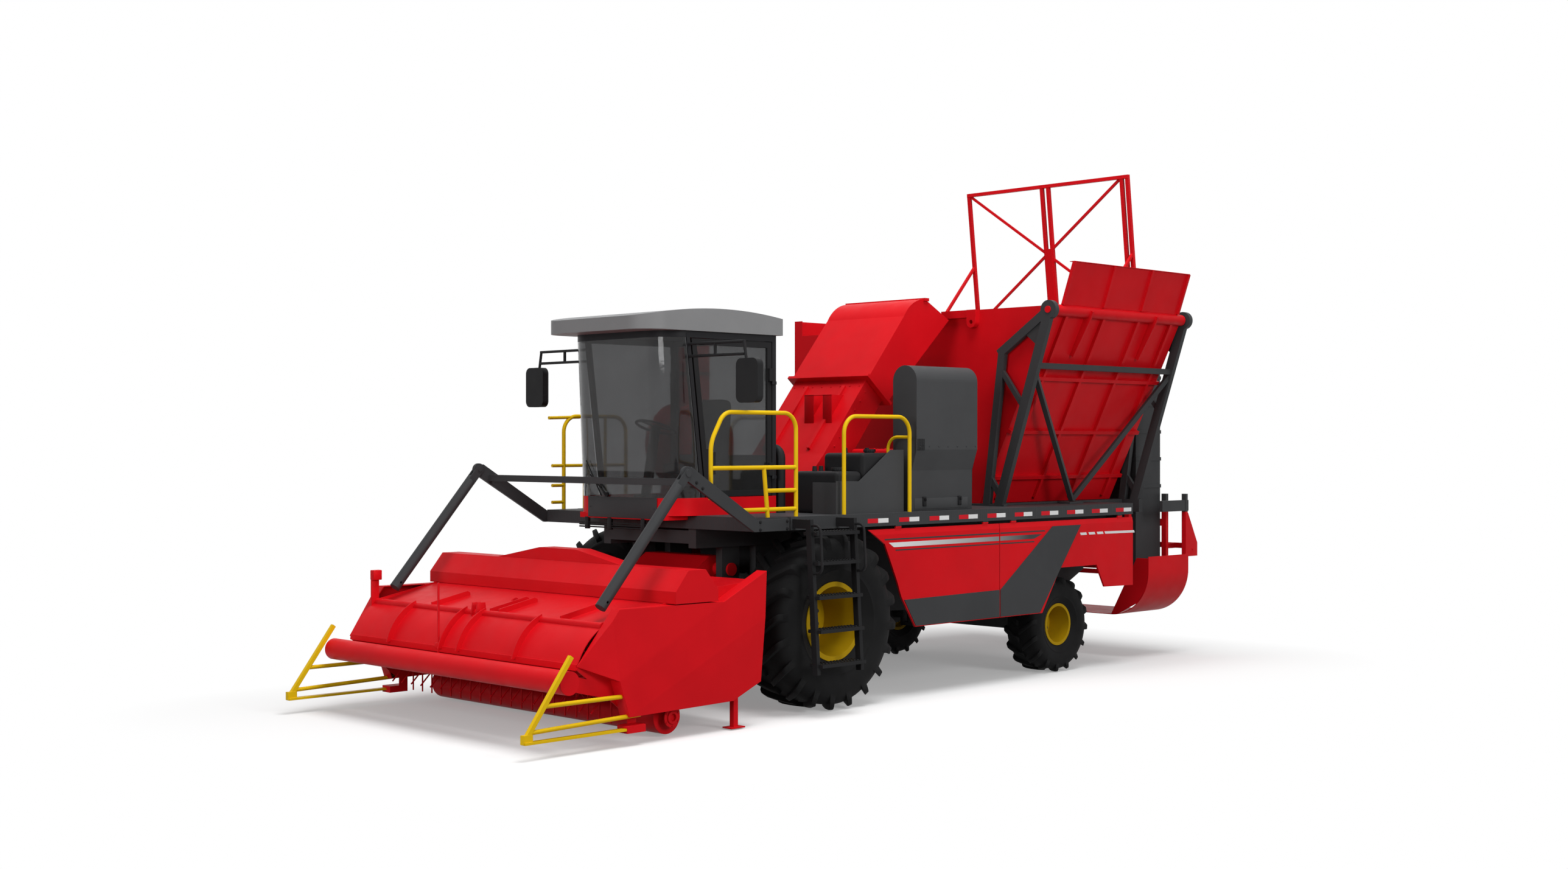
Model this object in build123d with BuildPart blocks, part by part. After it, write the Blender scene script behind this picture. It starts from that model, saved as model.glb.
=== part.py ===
from build123d import *
import math
import os

os.makedirs("parts", exist_ok=True)

# Pepper harvester. +X is forward, +Y is left, +Z is up, sizes in millimetres.
# Places along the machine are given from the front axle by ax(); the origin is on the ground
# under the middle of the machine's box.

# Overall reach
FRONT_TIP = 3650
REAR_END = -6200
WHEELBASE = 3690


def ax(d):
    """Distance ahead of the front axle, turned into X."""
    return d - (FRONT_TIP + REAR_END) / 2


# Front wheels
FRONT_R = 800
FRONT_W = 587
FRONT_Y = 1296
FRONT_LUGS = 20
FRONT_LUG_H = 46
FRONT_RIM_R = 338
# Rear wheels
REAR_R = 500
REAR_W = 400
REAR_Y = 1120
REAR_LUGS = 16
REAR_LUG_H = 30
REAR_RIM_R = 205
# Axles
AXLE_R = 110
HUB_FACE = 1100
SPINDLE_R = 70
KINGPIN_Y = 760
KINGPIN_R = 30
REAR_SPINDLE_R = 45
REAR_HUB_FACE = 1020
FIT = 0.05
GAP = 5
# Chassis and deck
RAIL_Y = 600
RAIL_W = 100
RAIL_LOW = 1460
RAIL_TOP = 1640
DECK_TOP = 1760
DECK_SHEET = 6
DECK_HALF = 1500
DECK_FRONT = 950
DECK_REAR = -4740
# Cab
CAB_HALF = 720
CAB_FRONT = 1240
CAB_LEAN = 70
CAB_REAR = -50
CAB_CORNER = 280
BELT_TOP = 1920
GLASS_TOP = 3400
ROOF_LOW = 3420
PILLAR = 50
GLASS_T = 8
DOOR_HINGE_X = 10
DOOR_HINGE_Y = CAB_HALF + 20
DOOR_BARREL_R = 12
# Header
LIFT_X = 450
LIFT_Z = 1250
LIFT_R = 60
FEEDER_HALF = 450
HEAD_HALF = 1640
HEAD_SHEET = 8
SHIELD_D = 120
SHIELD_SKIN = 8
DRUM_X = 2500
DRUM_Z = 520
DRUM_R = 170
DRUM_SHAFT_R = 40
TINE_R = 385
TINE_ROWS = 8
TINE_PITCH = 150
TINE_W = 10
ROLLER_X = 2070
ROLLER_Z = 165
ROLLER_R = 145
ROLLER_SHAFT_R = 30
ROLLER_HALF = 1580
RAIL_FRONT_X = 3050
RAIL_FRONT_Z = 660
SHAFT_X = 2790
SHAFT_Z = 960
SHAFT_R = 30
COVER_T = 6
BUMPER_X = 3180
BUMPER_Z = 550
BUMPER_R = 95
BUMPER_HALF = 1710
STAND_X = 1400
STAND_TUBE = 50
STAND_Y = 1676
STAND_FOOT = 10
DIVIDER_Y = 1722
DIVIDER_R = 18
SEAT_GAP = 0.3
# Bin
BIN_FRONT = -2980
BIN_REAR = -5300
BIN_TOP = 3810
BIN_WALL = 6
PIVOT_Y = 1744
PIVOT_Z = 3760
PIVOT_R = 60
PIN_R = 35
FLAP_REACH = 1930
FLAP_TOP = 4250
BIN_RIGHT = -FLAP_REACH
SILL = 20
BIN_FLOOR = DECK_TOP + SILL + SEAT_GAP
STAND_T = 60
STAND_FRONT = -2920
STAND_REAR = -5360
# Elevator
ELEV_HALF = 500
# Push frame
DECK_NOSE_HALF = 1465
PUSH_PLATE = 30
PUSH_X = 1760
PUSH_Z = 2160
PUSH_R = 48
PUSH_PIN_R = 20
PUSH_HOLE_R = 12


def rod(a, b, r, mode=Mode.ADD):
    """A round bar from a to b in the piece being built."""
    axis = Vector(*b) - Vector(*a)
    with Locations(Plane(origin=a, z_dir=axis)):
        Cylinder(r, axis.length, align=(Align.CENTER, Align.CENTER, Align.MIN), mode=mode)


def bar(a, b, w, h, up=(0, 0, 1)):
    """A square bar from a to b, w across and h in the plane of the bar and up."""
    axis = Vector(*b) - Vector(*a)
    side = axis.cross(Vector(*up))
    with Locations(Plane(origin=a, x_dir=side, z_dir=axis)):
        Box(w, h, axis.length, align=(Align.CENTER, Align.CENTER, Align.MIN))


def block(x0, x1, y0, y1, z0, z1, mode=Mode.ADD):
    """A plain block between two corners."""
    with Locations(((x0 + x1) / 2, (y0 + y1) / 2, (z0 + z1) / 2)):
        Box(abs(x1 - x0), abs(y1 - y0), abs(z1 - z0), mode=mode)


def hub_plane(x, y, z):
    """Plane through a wheel's axis: its x runs along the axis to the left, its y is the radius."""
    return Plane(origin=(x, y, z), x_dir=(0, 1, 0), z_dir=(1, 0, 0))


def wheel_plane(x, y, z):
    """Plane across a wheel's axis, its normal to the left."""
    return Plane(origin=(x, y, z), x_dir=(1, 0, 0), z_dir=(0, 1, 0))


def lug_top(radius, length, width):
    """Radius of a lug's flat top whose corners lie on the tyre's outer circle."""
    half = (length * math.sin(math.radians(LUG_SKEW)) + width * math.cos(math.radians(LUG_SKEW))) / 2
    return math.sqrt(radius ** 2 - half ** 2)


# Tyres: each half is a carcass with a flat for each slanted lug, hollowed at the side down to the bead
LUG_SKEW = 35
LUG_LENGTH = 0.49
LUG_PLACE = 0.244
FRONT_AXIS = Axis((ax(0), 0, FRONT_R), (0, 1, 0))
FRONT_CARCASS = FRONT_R - FRONT_LUG_H
FRONT_SHOULDER = FRONT_CARCASS - 110
FRONT_LUG = (lug_top(FRONT_R, FRONT_W * LUG_LENGTH, 52) - FRONT_SHOULDER, 52, FRONT_W * LUG_LENGTH)
with BuildPart() as tyre_front_left:
    for side, turn in ((1, 0), (-1, 180 / FRONT_LUGS)):
        for y, r in ((0, FRONT_CARCASS), (FRONT_W / 2 - 60, FRONT_CARCASS), (FRONT_W / 2, FRONT_SHOULDER)):
            with BuildSketch(wheel_plane(ax(0), FRONT_Y + side * y, FRONT_R)):
                RegularPolygon(r, FRONT_LUGS, rotation=turn + 180 / FRONT_LUGS)
        loft(ruled=True)
        with Locations(wheel_plane(ax(0), FRONT_Y, FRONT_R)):
            with PolarLocations(FRONT_SHOULDER + FRONT_LUG[0] / 2, FRONT_LUGS, start_angle=turn):
                with Locations(Location((0, 0, side * FRONT_W * LUG_PLACE), (side * LUG_SKEW, 0, 0))):
                    Box(*FRONT_LUG)
    for side in (1, -1):
        for y, r in ((FRONT_W / 2 - 82, FRONT_RIM_R + 30), (FRONT_W / 2, FRONT_RIM_R + 150)):
            with BuildSketch(wheel_plane(ax(0), FRONT_Y + side * y, FRONT_R)):
                RegularPolygon(r, FRONT_LUGS)
        loft(ruled=True, mode=Mode.SUBTRACT)
    with BuildSketch(wheel_plane(ax(0), FRONT_Y, FRONT_R)):
        RegularPolygon(FRONT_RIM_R + SEAT_GAP, FRONT_LUGS, major_radius=False)
    extrude(amount=FRONT_W / 2, both=True, mode=Mode.SUBTRACT)
tyre_front_left.part.label = "tyre_front_left"
export_step(tyre_front_left.part, "parts/tyre_front_left.step")

with BuildPart() as tyre_front_right:
    mirror(tyre_front_left.part, about=Plane.XZ)
tyre_front_right.part.label = "tyre_front_right"
export_step(tyre_front_right.part, "parts/tyre_front_right.step")

REAR_AXIS = Axis((ax(-WHEELBASE), 0, REAR_R), (0, 1, 0))
REAR_CARCASS = REAR_R - REAR_LUG_H
REAR_SHOULDER = REAR_CARCASS - 75
REAR_LUG = (lug_top(REAR_R, REAR_W * LUG_LENGTH, 40) - REAR_SHOULDER, 40, REAR_W * LUG_LENGTH)
with BuildPart() as tyre_rear_left:
    for side, turn in ((1, 0), (-1, 180 / REAR_LUGS)):
        for y, r in ((0, REAR_CARCASS), (REAR_W / 2 - 45, REAR_CARCASS), (REAR_W / 2, REAR_SHOULDER)):
            with BuildSketch(wheel_plane(ax(-WHEELBASE), REAR_Y + side * y, REAR_R)):
                RegularPolygon(r, REAR_LUGS, rotation=turn + 180 / REAR_LUGS)
        loft(ruled=True)
        with Locations(wheel_plane(ax(-WHEELBASE), REAR_Y, REAR_R)):
            with PolarLocations(REAR_SHOULDER + REAR_LUG[0] / 2, REAR_LUGS, start_angle=turn):
                with Locations(Location((0, 0, side * REAR_W * LUG_PLACE), (side * LUG_SKEW, 0, 0))):
                    Box(*REAR_LUG)
    for side in (1, -1):
        for y, r in ((REAR_W / 2 - 54, REAR_RIM_R + 26), (REAR_W / 2, REAR_RIM_R + 95)):
            with BuildSketch(wheel_plane(ax(-WHEELBASE), REAR_Y + side * y, REAR_R)):
                RegularPolygon(r, REAR_LUGS)
        loft(ruled=True, mode=Mode.SUBTRACT)
    with BuildSketch(wheel_plane(ax(-WHEELBASE), REAR_Y, REAR_R)):
        RegularPolygon(REAR_RIM_R + SEAT_GAP, REAR_LUGS, major_radius=False)
    extrude(amount=REAR_W / 2, both=True, mode=Mode.SUBTRACT)
tyre_rear_left.part.label = "tyre_rear_left"
export_step(tyre_rear_left.part, "parts/tyre_rear_left.step")

with BuildPart() as tyre_rear_right:
    mirror(tyre_rear_left.part, about=Plane.XZ)
tyre_rear_right.part.label = "tyre_rear_right"
export_step(tyre_rear_right.part, "parts/tyre_rear_right.step")

# Deep-dished rims: a rim barrel with a flange at each bead, a disc on the hub face and a hub boss
DISH = FRONT_Y - HUB_FACE
with BuildPart() as rim_front_left:
    with BuildSketch(hub_plane(ax(0), FRONT_Y, FRONT_R)):
        Polygon(
            (-DISH + GAP, SPINDLE_R + FIT), (-DISH + 75, SPINDLE_R + FIT), (-DISH + 75, 120),
            (-DISH + 25, 150), (-DISH + 25, FRONT_RIM_R - 60), (FRONT_W / 2 - 70, FRONT_RIM_R - 22),
            (FRONT_W / 2 - 70, FRONT_RIM_R + 22), (FRONT_W / 2 - 82, FRONT_RIM_R + 22),
            (FRONT_W / 2 - 82, FRONT_RIM_R), (-FRONT_W / 2 + 82, FRONT_RIM_R),
            (-FRONT_W / 2 + 82, FRONT_RIM_R + 22), (-FRONT_W / 2 + 70, FRONT_RIM_R + 22),
            (-FRONT_W / 2 + 70, FRONT_RIM_R - 22), (-DISH + GAP, FRONT_RIM_R - 60), align=None)
    revolve(axis=FRONT_AXIS)
rim_front_left.part.label = "rim_front_left"
export_step(rim_front_left.part, "parts/rim_front_left.step")

with BuildPart() as rim_front_right:
    mirror(rim_front_left.part, about=Plane.XZ)
rim_front_right.part.label = "rim_front_right"
export_step(rim_front_right.part, "parts/rim_front_right.step")

REAR_DISH = REAR_Y - REAR_HUB_FACE
with BuildPart() as rim_rear_left:
    with BuildSketch(hub_plane(ax(-WHEELBASE), REAR_Y, REAR_R)):
        Polygon(
            (-REAR_DISH + GAP, REAR_SPINDLE_R + FIT), (-REAR_DISH + 60, REAR_SPINDLE_R + FIT), (-REAR_DISH + 60, 75),
            (-REAR_DISH + 20, 95), (-REAR_DISH + 20, REAR_RIM_R - 40), (REAR_W / 2 - 45, REAR_RIM_R - 14),
            (REAR_W / 2 - 45, REAR_RIM_R + 16), (REAR_W / 2 - 54, REAR_RIM_R + 16),
            (REAR_W / 2 - 54, REAR_RIM_R), (-REAR_W / 2 + 54, REAR_RIM_R),
            (-REAR_W / 2 + 54, REAR_RIM_R + 16), (-REAR_W / 2 + 45, REAR_RIM_R + 16),
            (-REAR_W / 2 + 45, REAR_RIM_R - 14), (-REAR_DISH + GAP, REAR_RIM_R - 40), align=None)
    revolve(axis=REAR_AXIS)
rim_rear_left.part.label = "rim_rear_left"
export_step(rim_rear_left.part, "parts/rim_rear_left.step")

with BuildPart() as rim_rear_right:
    mirror(rim_rear_left.part, about=Plane.XZ)
rim_rear_right.part.label = "rim_rear_right"
export_step(rim_rear_right.part, "parts/rim_rear_right.step")

# Front drive axle: axle tube, gear case, saddles under the rails, flanged ends with spindles
SADDLE_TOP = FRONT_R + 140
with BuildPart() as front_axle:
    rod((ax(0), -HUB_FACE, FRONT_R), (ax(0), HUB_FACE, FRONT_R), AXLE_R)
    block(ax(-230), ax(190), -300, 300, FRONT_R - 210, FRONT_R + 200)
    for s in (1, -1):
        block(ax(-140), ax(140), s * (RAIL_Y - 45), s * (RAIL_Y + 45), FRONT_R, SADDLE_TOP)
        rod((ax(0), s * (HUB_FACE - 30), FRONT_R), (ax(0), s * HUB_FACE, FRONT_R), 215)
        rod((ax(0), s * HUB_FACE, FRONT_R), (ax(0), s * (HUB_FACE + 95), FRONT_R), SPINDLE_R)
front_axle.part.label = "front_axle"
export_step(front_axle.part, "parts/front_axle.step")

# Rear steering axle: a box beam with a kingpin boss at each end
BOSS_HALF = 110
with BuildPart() as rear_axle:
    block(ax(-WHEELBASE - 80), ax(-WHEELBASE + 80), -KINGPIN_Y + 40, KINGPIN_Y - 40, REAR_R - 80, REAR_R + 80)
    for s in (1, -1):
        with Locations((ax(-WHEELBASE), s * KINGPIN_Y, REAR_R)):
            Cylinder(60, 2 * BOSS_HALF)
            Cylinder(KINGPIN_R + FIT, 2 * BOSS_HALF, mode=Mode.SUBTRACT)
rear_axle.part.label = "rear_axle"
export_step(rear_axle.part, "parts/rear_axle.step")

# Knuckle: a yoke over the boss with its kingpin, and the wheel's spindle
with BuildPart() as knuckle_left:
    with Locations((ax(-WHEELBASE), KINGPIN_Y, REAR_R)):
        Cylinder(KINGPIN_R, 2 * (BOSS_HALF + 45))
    for s in (1, -1):
        block(ax(-WHEELBASE - 55), ax(-WHEELBASE + 55), KINGPIN_Y - 55, KINGPIN_Y + 130,
              REAR_R + s * (BOSS_HALF + GAP), REAR_R + s * (BOSS_HALF + GAP + 40))
    block(ax(-WHEELBASE - 55), ax(-WHEELBASE + 55), KINGPIN_Y + 90, KINGPIN_Y + 130,
          REAR_R - BOSS_HALF - GAP - 20, REAR_R + BOSS_HALF + GAP + 20)
    rod((ax(-WHEELBASE), KINGPIN_Y + 100, REAR_R), (ax(-WHEELBASE), REAR_HUB_FACE - 20, REAR_R), 80)
    rod((ax(-WHEELBASE), REAR_HUB_FACE - 20, REAR_R), (ax(-WHEELBASE), REAR_HUB_FACE, REAR_R), 140)
    rod((ax(-WHEELBASE), REAR_HUB_FACE, REAR_R), (ax(-WHEELBASE), REAR_HUB_FACE + 75, REAR_R), REAR_SPINDLE_R)
    bar((ax(-WHEELBASE - 50), KINGPIN_Y + 20, REAR_R - BOSS_HALF - 25),
        (ax(-WHEELBASE - 220), KINGPIN_Y - 40, REAR_R - BOSS_HALF - 25), 50, 30)
knuckle_left.part.label = "knuckle_left"
export_step(knuckle_left.part, "parts/knuckle_left.step")

with BuildPart() as knuckle_right:
    mirror(knuckle_left.part, about=Plane.XZ)
knuckle_right.part.label = "knuckle_right"
export_step(knuckle_right.part, "parts/knuckle_right.step")

# Chassis: two rails with cross members, axle plates and the feeder's hinge plates
with BuildPart() as chassis_frame:
    for s in (1, -1):
        block(ax(-5900), ax(900), s * (RAIL_Y - RAIL_W / 2), s * (RAIL_Y + RAIL_W / 2), RAIL_LOW, RAIL_TOP)
        block(ax(-140), ax(140), s * (RAIL_Y - 40), s * (RAIL_Y + 40), SADDLE_TOP, RAIL_LOW)
        block(ax(-WHEELBASE - 110), ax(-WHEELBASE + 110), s * (RAIL_Y - RAIL_W / 2), s * RAIL_Y,
              REAR_R + 80, RAIL_LOW)
        block(ax(LIFT_X - 110), ax(LIFT_X + 110), s * (RAIL_Y - RAIL_W / 2), s * (RAIL_Y + 30),
              LIFT_Z - 110, RAIL_LOW)
    for x in (860, 260, -5860):
        block(ax(x - 40), ax(x + 40), -RAIL_Y, RAIL_Y, RAIL_LOW + 40, RAIL_TOP - 20)
    with Locations(Plane(origin=(ax(LIFT_X), 0, LIFT_Z), z_dir=(0, 1, 0))):
        Cylinder(LIFT_R + FIT, 2 * RAIL_Y + 2 * RAIL_W, mode=Mode.SUBTRACT)
chassis_frame.part.label = "chassis_frame"
export_step(chassis_frame.part, "parts/chassis_frame.step")

# Deck: chequer sheet on channels with a deep edge strip, narrower at the nose, and hinge tabs under the strip
NOSE_X = 540
HINGE_Z = RAIL_TOP - 18
HINGE_R = 9.5
HINGE_XS = (-900, -2200, -2650, -4500)
with BuildPart() as deck:
    with BuildSketch(Plane.XY.offset(RAIL_TOP)):
        Polygon((ax(DECK_REAR), -DECK_HALF), (ax(NOSE_X), -DECK_HALF), (ax(NOSE_X), -DECK_NOSE_HALF),
                (ax(DECK_FRONT), -DECK_NOSE_HALF), (ax(DECK_FRONT), DECK_NOSE_HALF), (ax(NOSE_X), DECK_NOSE_HALF),
                (ax(NOSE_X), DECK_HALF), (ax(DECK_REAR), DECK_HALF), align=None)
    extrude(amount=DECK_TOP - RAIL_TOP)
    for x0, x1 in ((DECK_REAR, -3300), (-3300, -1500), (-1500, 0), (0, NOSE_X)):
        block(ax(x0 + 30), ax(x1 - 30), -DECK_HALF + DECK_SHEET, DECK_HALF - DECK_SHEET, RAIL_TOP, DECK_TOP - DECK_SHEET,
              mode=Mode.SUBTRACT)
    block(ax(NOSE_X - 40), ax(DECK_FRONT - DECK_SHEET), -DECK_NOSE_HALF + DECK_SHEET, DECK_NOSE_HALF - DECK_SHEET,
          RAIL_TOP, DECK_TOP - DECK_SHEET, mode=Mode.SUBTRACT)
    for s in (1, -1):
        for x in HINGE_XS:
            block(ax(x - 40), ax(x + 40), s * (DECK_HALF - 19), s * (DECK_HALF - 1), HINGE_Z + HINGE_R + SEAT_GAP, RAIL_TOP + 4)
deck.part.label = "deck"
export_step(deck.part, "parts/deck.step")

# Separator housing between the rails
SEP_HALF = RAIL_Y - RAIL_W / 2
with BuildPart() as separator:
    with BuildSketch(Plane.XZ.offset(-SEP_HALF)):
        Polygon(
            (ax(-250), 1600), (ax(-250), 1150), (ax(-700), 760), (ax(-2300), 700), (ax(-3300), 720),
            (ax(-4600), 720), (ax(-5150), 980), (ax(-5150), 1600), align=None)
    extrude(amount=2 * SEP_HALF)
separator.part.label = "separator"
export_step(separator.part, "parts/separator.step")

# Cab frame: floor, belt, pillars and top ring
DOOR_HINGE_ZS = (BELT_TOP + 250, GLASS_TOP - 350)
with BuildPart() as cab_frame:
    with BuildSketch(Plane.XY.offset(DECK_TOP)):
        with Locations((ax((CAB_FRONT + CAB_REAR) / 2), 0)):
            Rectangle(CAB_FRONT - CAB_REAR, 2 * CAB_HALF)
        fillet(vertices().group_by(Axis.X)[-1], CAB_CORNER)
    extrude(amount=BELT_TOP - DECK_TOP)
    with BuildSketch(Plane.XY.offset(DECK_TOP + 40)):
        with Locations((ax((CAB_FRONT + CAB_REAR) / 2), 0)):
            Rectangle(CAB_FRONT - CAB_REAR - 2 * PILLAR, 2 * CAB_HALF - 2 * PILLAR)
        fillet(vertices().group_by(Axis.X)[-1], CAB_CORNER - PILLAR)
    extrude(amount=BELT_TOP - DECK_TOP, mode=Mode.SUBTRACT)
    with BuildSketch(Plane.XY.offset(GLASS_TOP - 40)):
        with Locations((ax((CAB_FRONT + CAB_LEAN + CAB_REAR) / 2), 0)):
            Rectangle(CAB_FRONT + CAB_LEAN - CAB_REAR, 2 * CAB_HALF)
        fillet(vertices().group_by(Axis.X)[-1], CAB_CORNER)
        offset(amount=-PILLAR, kind=Kind.INTERSECTION, mode=Mode.SUBTRACT)
    extrude(amount=ROOF_LOW - GLASS_TOP + 40)
    for s in (1, -1):
        bar((ax(870), s * (CAB_HALF - PILLAR / 2), BELT_TOP - 40), (ax(1060), s * (CAB_HALF - PILLAR / 2), GLASS_TOP),
            PILLAR, 40, up=(1, 0, 0))
        block(ax(CAB_REAR), ax(CAB_REAR + PILLAR), s * (CAB_HALF - 90), s * CAB_HALF, BELT_TOP - 60, GLASS_TOP)
    block(ax(CAB_REAR), ax(CAB_REAR + 30), -CAB_HALF, CAB_HALF, BELT_TOP - 40, BELT_TOP + 380)
    for z in DOOR_HINGE_ZS:
        block(ax(CAB_REAR + 20), ax(0), CAB_HALF - 10, DOOR_HINGE_Y + 8, z - 90, z - 60 - SEAT_GAP)
        rod((ax(DOOR_HINGE_X), DOOR_HINGE_Y, z - 90), (ax(DOOR_HINGE_X), DOOR_HINGE_Y, z - 60 - SEAT_GAP), DOOR_BARREL_R)
    block(ax(DECK_FRONT + 2), ax(CAB_FRONT - 10), -CAB_HALF + 120, CAB_HALF - 120, DECK_TOP - 40, DECK_TOP + 10)
cab_frame.part.label = "cab_frame"
export_step(cab_frame.part, "parts/cab_frame.step")

with BuildPart() as cab_roof:
    with BuildSketch(Plane.XZ.offset(-CAB_HALF - 30)):
        with BuildLine():
            Polyline((ax(CAB_REAR - 60), ROOF_LOW + 156), (ax(CAB_REAR - 60), ROOF_LOW), (ax(1590), ROOF_LOW),
                     (ax(1590), ROOF_LOW + 120))
            ThreePointArc((ax(1590), ROOF_LOW + 120), (ax(780), ROOF_LOW + 210), (ax(CAB_REAR - 60), ROOF_LOW + 156))
        make_face()
    extrude(amount=2 * CAB_HALF + 60)
    fillet(cab_roof.edges().filter_by(Axis.Z).group_by(Axis.X)[-1], 260)
cab_roof.part.label = "cab_roof"
export_step(cab_roof.part, "parts/cab_roof.step")

# Windscreen, bent round both front corners and leaning forward
GLASS_LEAN = Vector(CAB_LEAN, 0, GLASS_TOP - 40 - BELT_TOP)
with BuildPart() as windscreen:
    with BuildSketch(Plane.XY.offset(BELT_TOP)):
        with Locations((ax(CAB_FRONT / 2 + 400), 0)):
            Rectangle(CAB_FRONT - 800, 2 * CAB_HALF)
        fillet(vertices().group_by(Axis.X)[-1], CAB_CORNER)
    extrude(amount=GLASS_LEAN.length, dir=tuple(GLASS_LEAN))
    with BuildSketch(Plane.XY.offset(BELT_TOP)):
        with Locations((ax(CAB_FRONT / 2 + 400), 0)):
            Rectangle(CAB_FRONT - 800 - 2 * GLASS_T, 2 * CAB_HALF - 2 * GLASS_T)
        fillet(vertices().group_by(Axis.X)[-1], CAB_CORNER - GLASS_T)
    extrude(amount=GLASS_LEAN.length, dir=tuple(GLASS_LEAN), mode=Mode.SUBTRACT)
    with BuildSketch(Plane.XZ.offset(-CAB_HALF - 50)):
        Polygon((ax(700), BELT_TOP - 50), (ax(902), BELT_TOP - 50), (ax(1090), GLASS_TOP + 20), (ax(700), GLASS_TOP + 20),
                align=None)
    extrude(amount=2 * CAB_HALF + 100, mode=Mode.SUBTRACT)
windscreen.part.label = "windscreen"
export_step(windscreen.part, "parts/windscreen.step")

# Right side glass and rear glass
SIDE_GLASS = ((ax(CAB_REAR + PILLAR), BELT_TOP), (ax(845), BELT_TOP), (ax(1030), GLASS_TOP - 40),
              (ax(CAB_REAR + PILLAR), GLASS_TOP - 40))
with BuildPart() as glass_right:
    with BuildSketch(Plane.XZ.offset(CAB_HALF - GLASS_T)):
        Polygon(*SIDE_GLASS, align=None)
    extrude(amount=GLASS_T)
glass_right.part.label = "glass_right"
export_step(glass_right.part, "parts/glass_right.step")

with BuildPart() as glass_rear:
    block(ax(CAB_REAR + 10), ax(CAB_REAR + 10 + GLASS_T), -CAB_HALF + 90, CAB_HALF - 90, BELT_TOP + 380, GLASS_TOP - 40)
glass_rear.part.label = "glass_rear"
export_step(glass_rear.part, "parts/glass_rear.step")

# Door: a sheet frame round its glass, hinged on the rear pillar
DOOR_Y = CAB_HALF - 30
DOOR = ((ax(DOOR_HINGE_X), BELT_TOP + 6), (ax(838), BELT_TOP + 6), (ax(1016), GLASS_TOP - 46),
        (ax(DOOR_HINGE_X), GLASS_TOP - 46))
with BuildPart() as door_frame:
    with BuildSketch(Plane.XZ.offset(-CAB_HALF)):
        Polygon(*DOOR, align=None)
        offset(amount=-55, kind=Kind.INTERSECTION, mode=Mode.SUBTRACT)
    extrude(amount=CAB_HALF - DOOR_Y)
    for z in DOOR_HINGE_ZS:
        with Locations((ax(DOOR_HINGE_X), DOOR_HINGE_Y, z)):
            Cylinder(DOOR_BARREL_R, 120)
        block(ax(DOOR_HINGE_X), ax(DOOR_HINGE_X + 50), CAB_HALF - 4, DOOR_HINGE_Y + 8, z - 60, z + 60)
    rod((ax(770), CAB_HALF + 35, 2130), (ax(770), CAB_HALF + 35, 2330), 11)
    for z in (2150, 2310):
        block(ax(763), ax(777), CAB_HALF - 10, CAB_HALF + 35, z - 7, z + 7)
    block(ax(755), ax(838), CAB_HALF - 30, CAB_HALF, 2100, 2360)
door_frame.part.label = "door_frame"
export_step(door_frame.part, "parts/door_frame.step")

with BuildPart() as door_glass:
    with BuildSketch(Plane.XZ.offset(-CAB_HALF + 11)):
        Polygon(*DOOR, align=None)
        offset(amount=-55, kind=Kind.INTERSECTION, mode=Mode.REPLACE)
    extrude(amount=GLASS_T)
    block(ax(755), ax(838), CAB_HALF - 30, CAB_HALF, 2100, 2360, mode=Mode.SUBTRACT)
door_glass.part.label = "door_glass"
export_step(door_glass.part, "parts/door_glass.step")

# Driver's station: seat on its pedestal, floor mat and steering column
with BuildPart() as driver_station:
    block(ax(60), ax(1020), -300, 300, DECK_TOP + 40, DECK_TOP + 52)
    block(ax(150), ax(450), -180, 180, DECK_TOP + 50, 2130)
    block(ax(100), ax(560), -240, 240, 2120, 2230)
    bar((ax(140), 0, 2200), (ax(80), 0, 2850), 460, 110, up=(1, 0, 0))
    bar((ax(950), 0, DECK_TOP + 90), (ax(830), 0, 2480), 140, 120, up=(1, 0, 0))
    block(ax(860), ax(1010), -90, 90, DECK_TOP + 50, DECK_TOP + 180)
    with Locations(Plane(origin=(ax(815), 0, 2560), z_dir=(-0.35, 0, 1))):
        Cylinder(205, 26)
        Cylinder(177, 26, mode=Mode.SUBTRACT)
        Box(370, 30, 16)
        Cylinder(35, 120, align=(Align.CENTER, Align.CENTER, Align.MAX))
driver_station.part.label = "driver_station"
export_step(driver_station.part, "parts/driver_station.step")

# Mirrors on twin bars
MIRROR_X = 1047
MIRROR_Y = 1500
with BuildPart() as mirror_left:
    for z in (3190, 3300):
        rod((ax(MIRROR_X), CAB_HALF, z), (ax(MIRROR_X), MIRROR_Y - 60, z), 13)
    rod((ax(MIRROR_X), MIRROR_Y - 70, 3310), (ax(MIRROR_X), MIRROR_Y, 2940), 13)
    block(ax(MIRROR_X - 10), ax(MIRROR_X + 10), 1055, 1075, 3190, 3300)
    with BuildSketch(Plane.YZ.offset(ax(MIRROR_X - 35))):
        with Locations((MIRROR_Y, 2957)):
            RectangleRounded(270, 385, 60)
    extrude(amount=70)
mirror_left.part.label = "mirror_left"
export_step(mirror_left.part, "parts/mirror_left.step")

with BuildPart() as mirror_right:
    mirror(mirror_left.part, about=Plane.XZ)
mirror_right.part.label = "mirror_right"
export_step(mirror_right.part, "parts/mirror_right.step")

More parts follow.
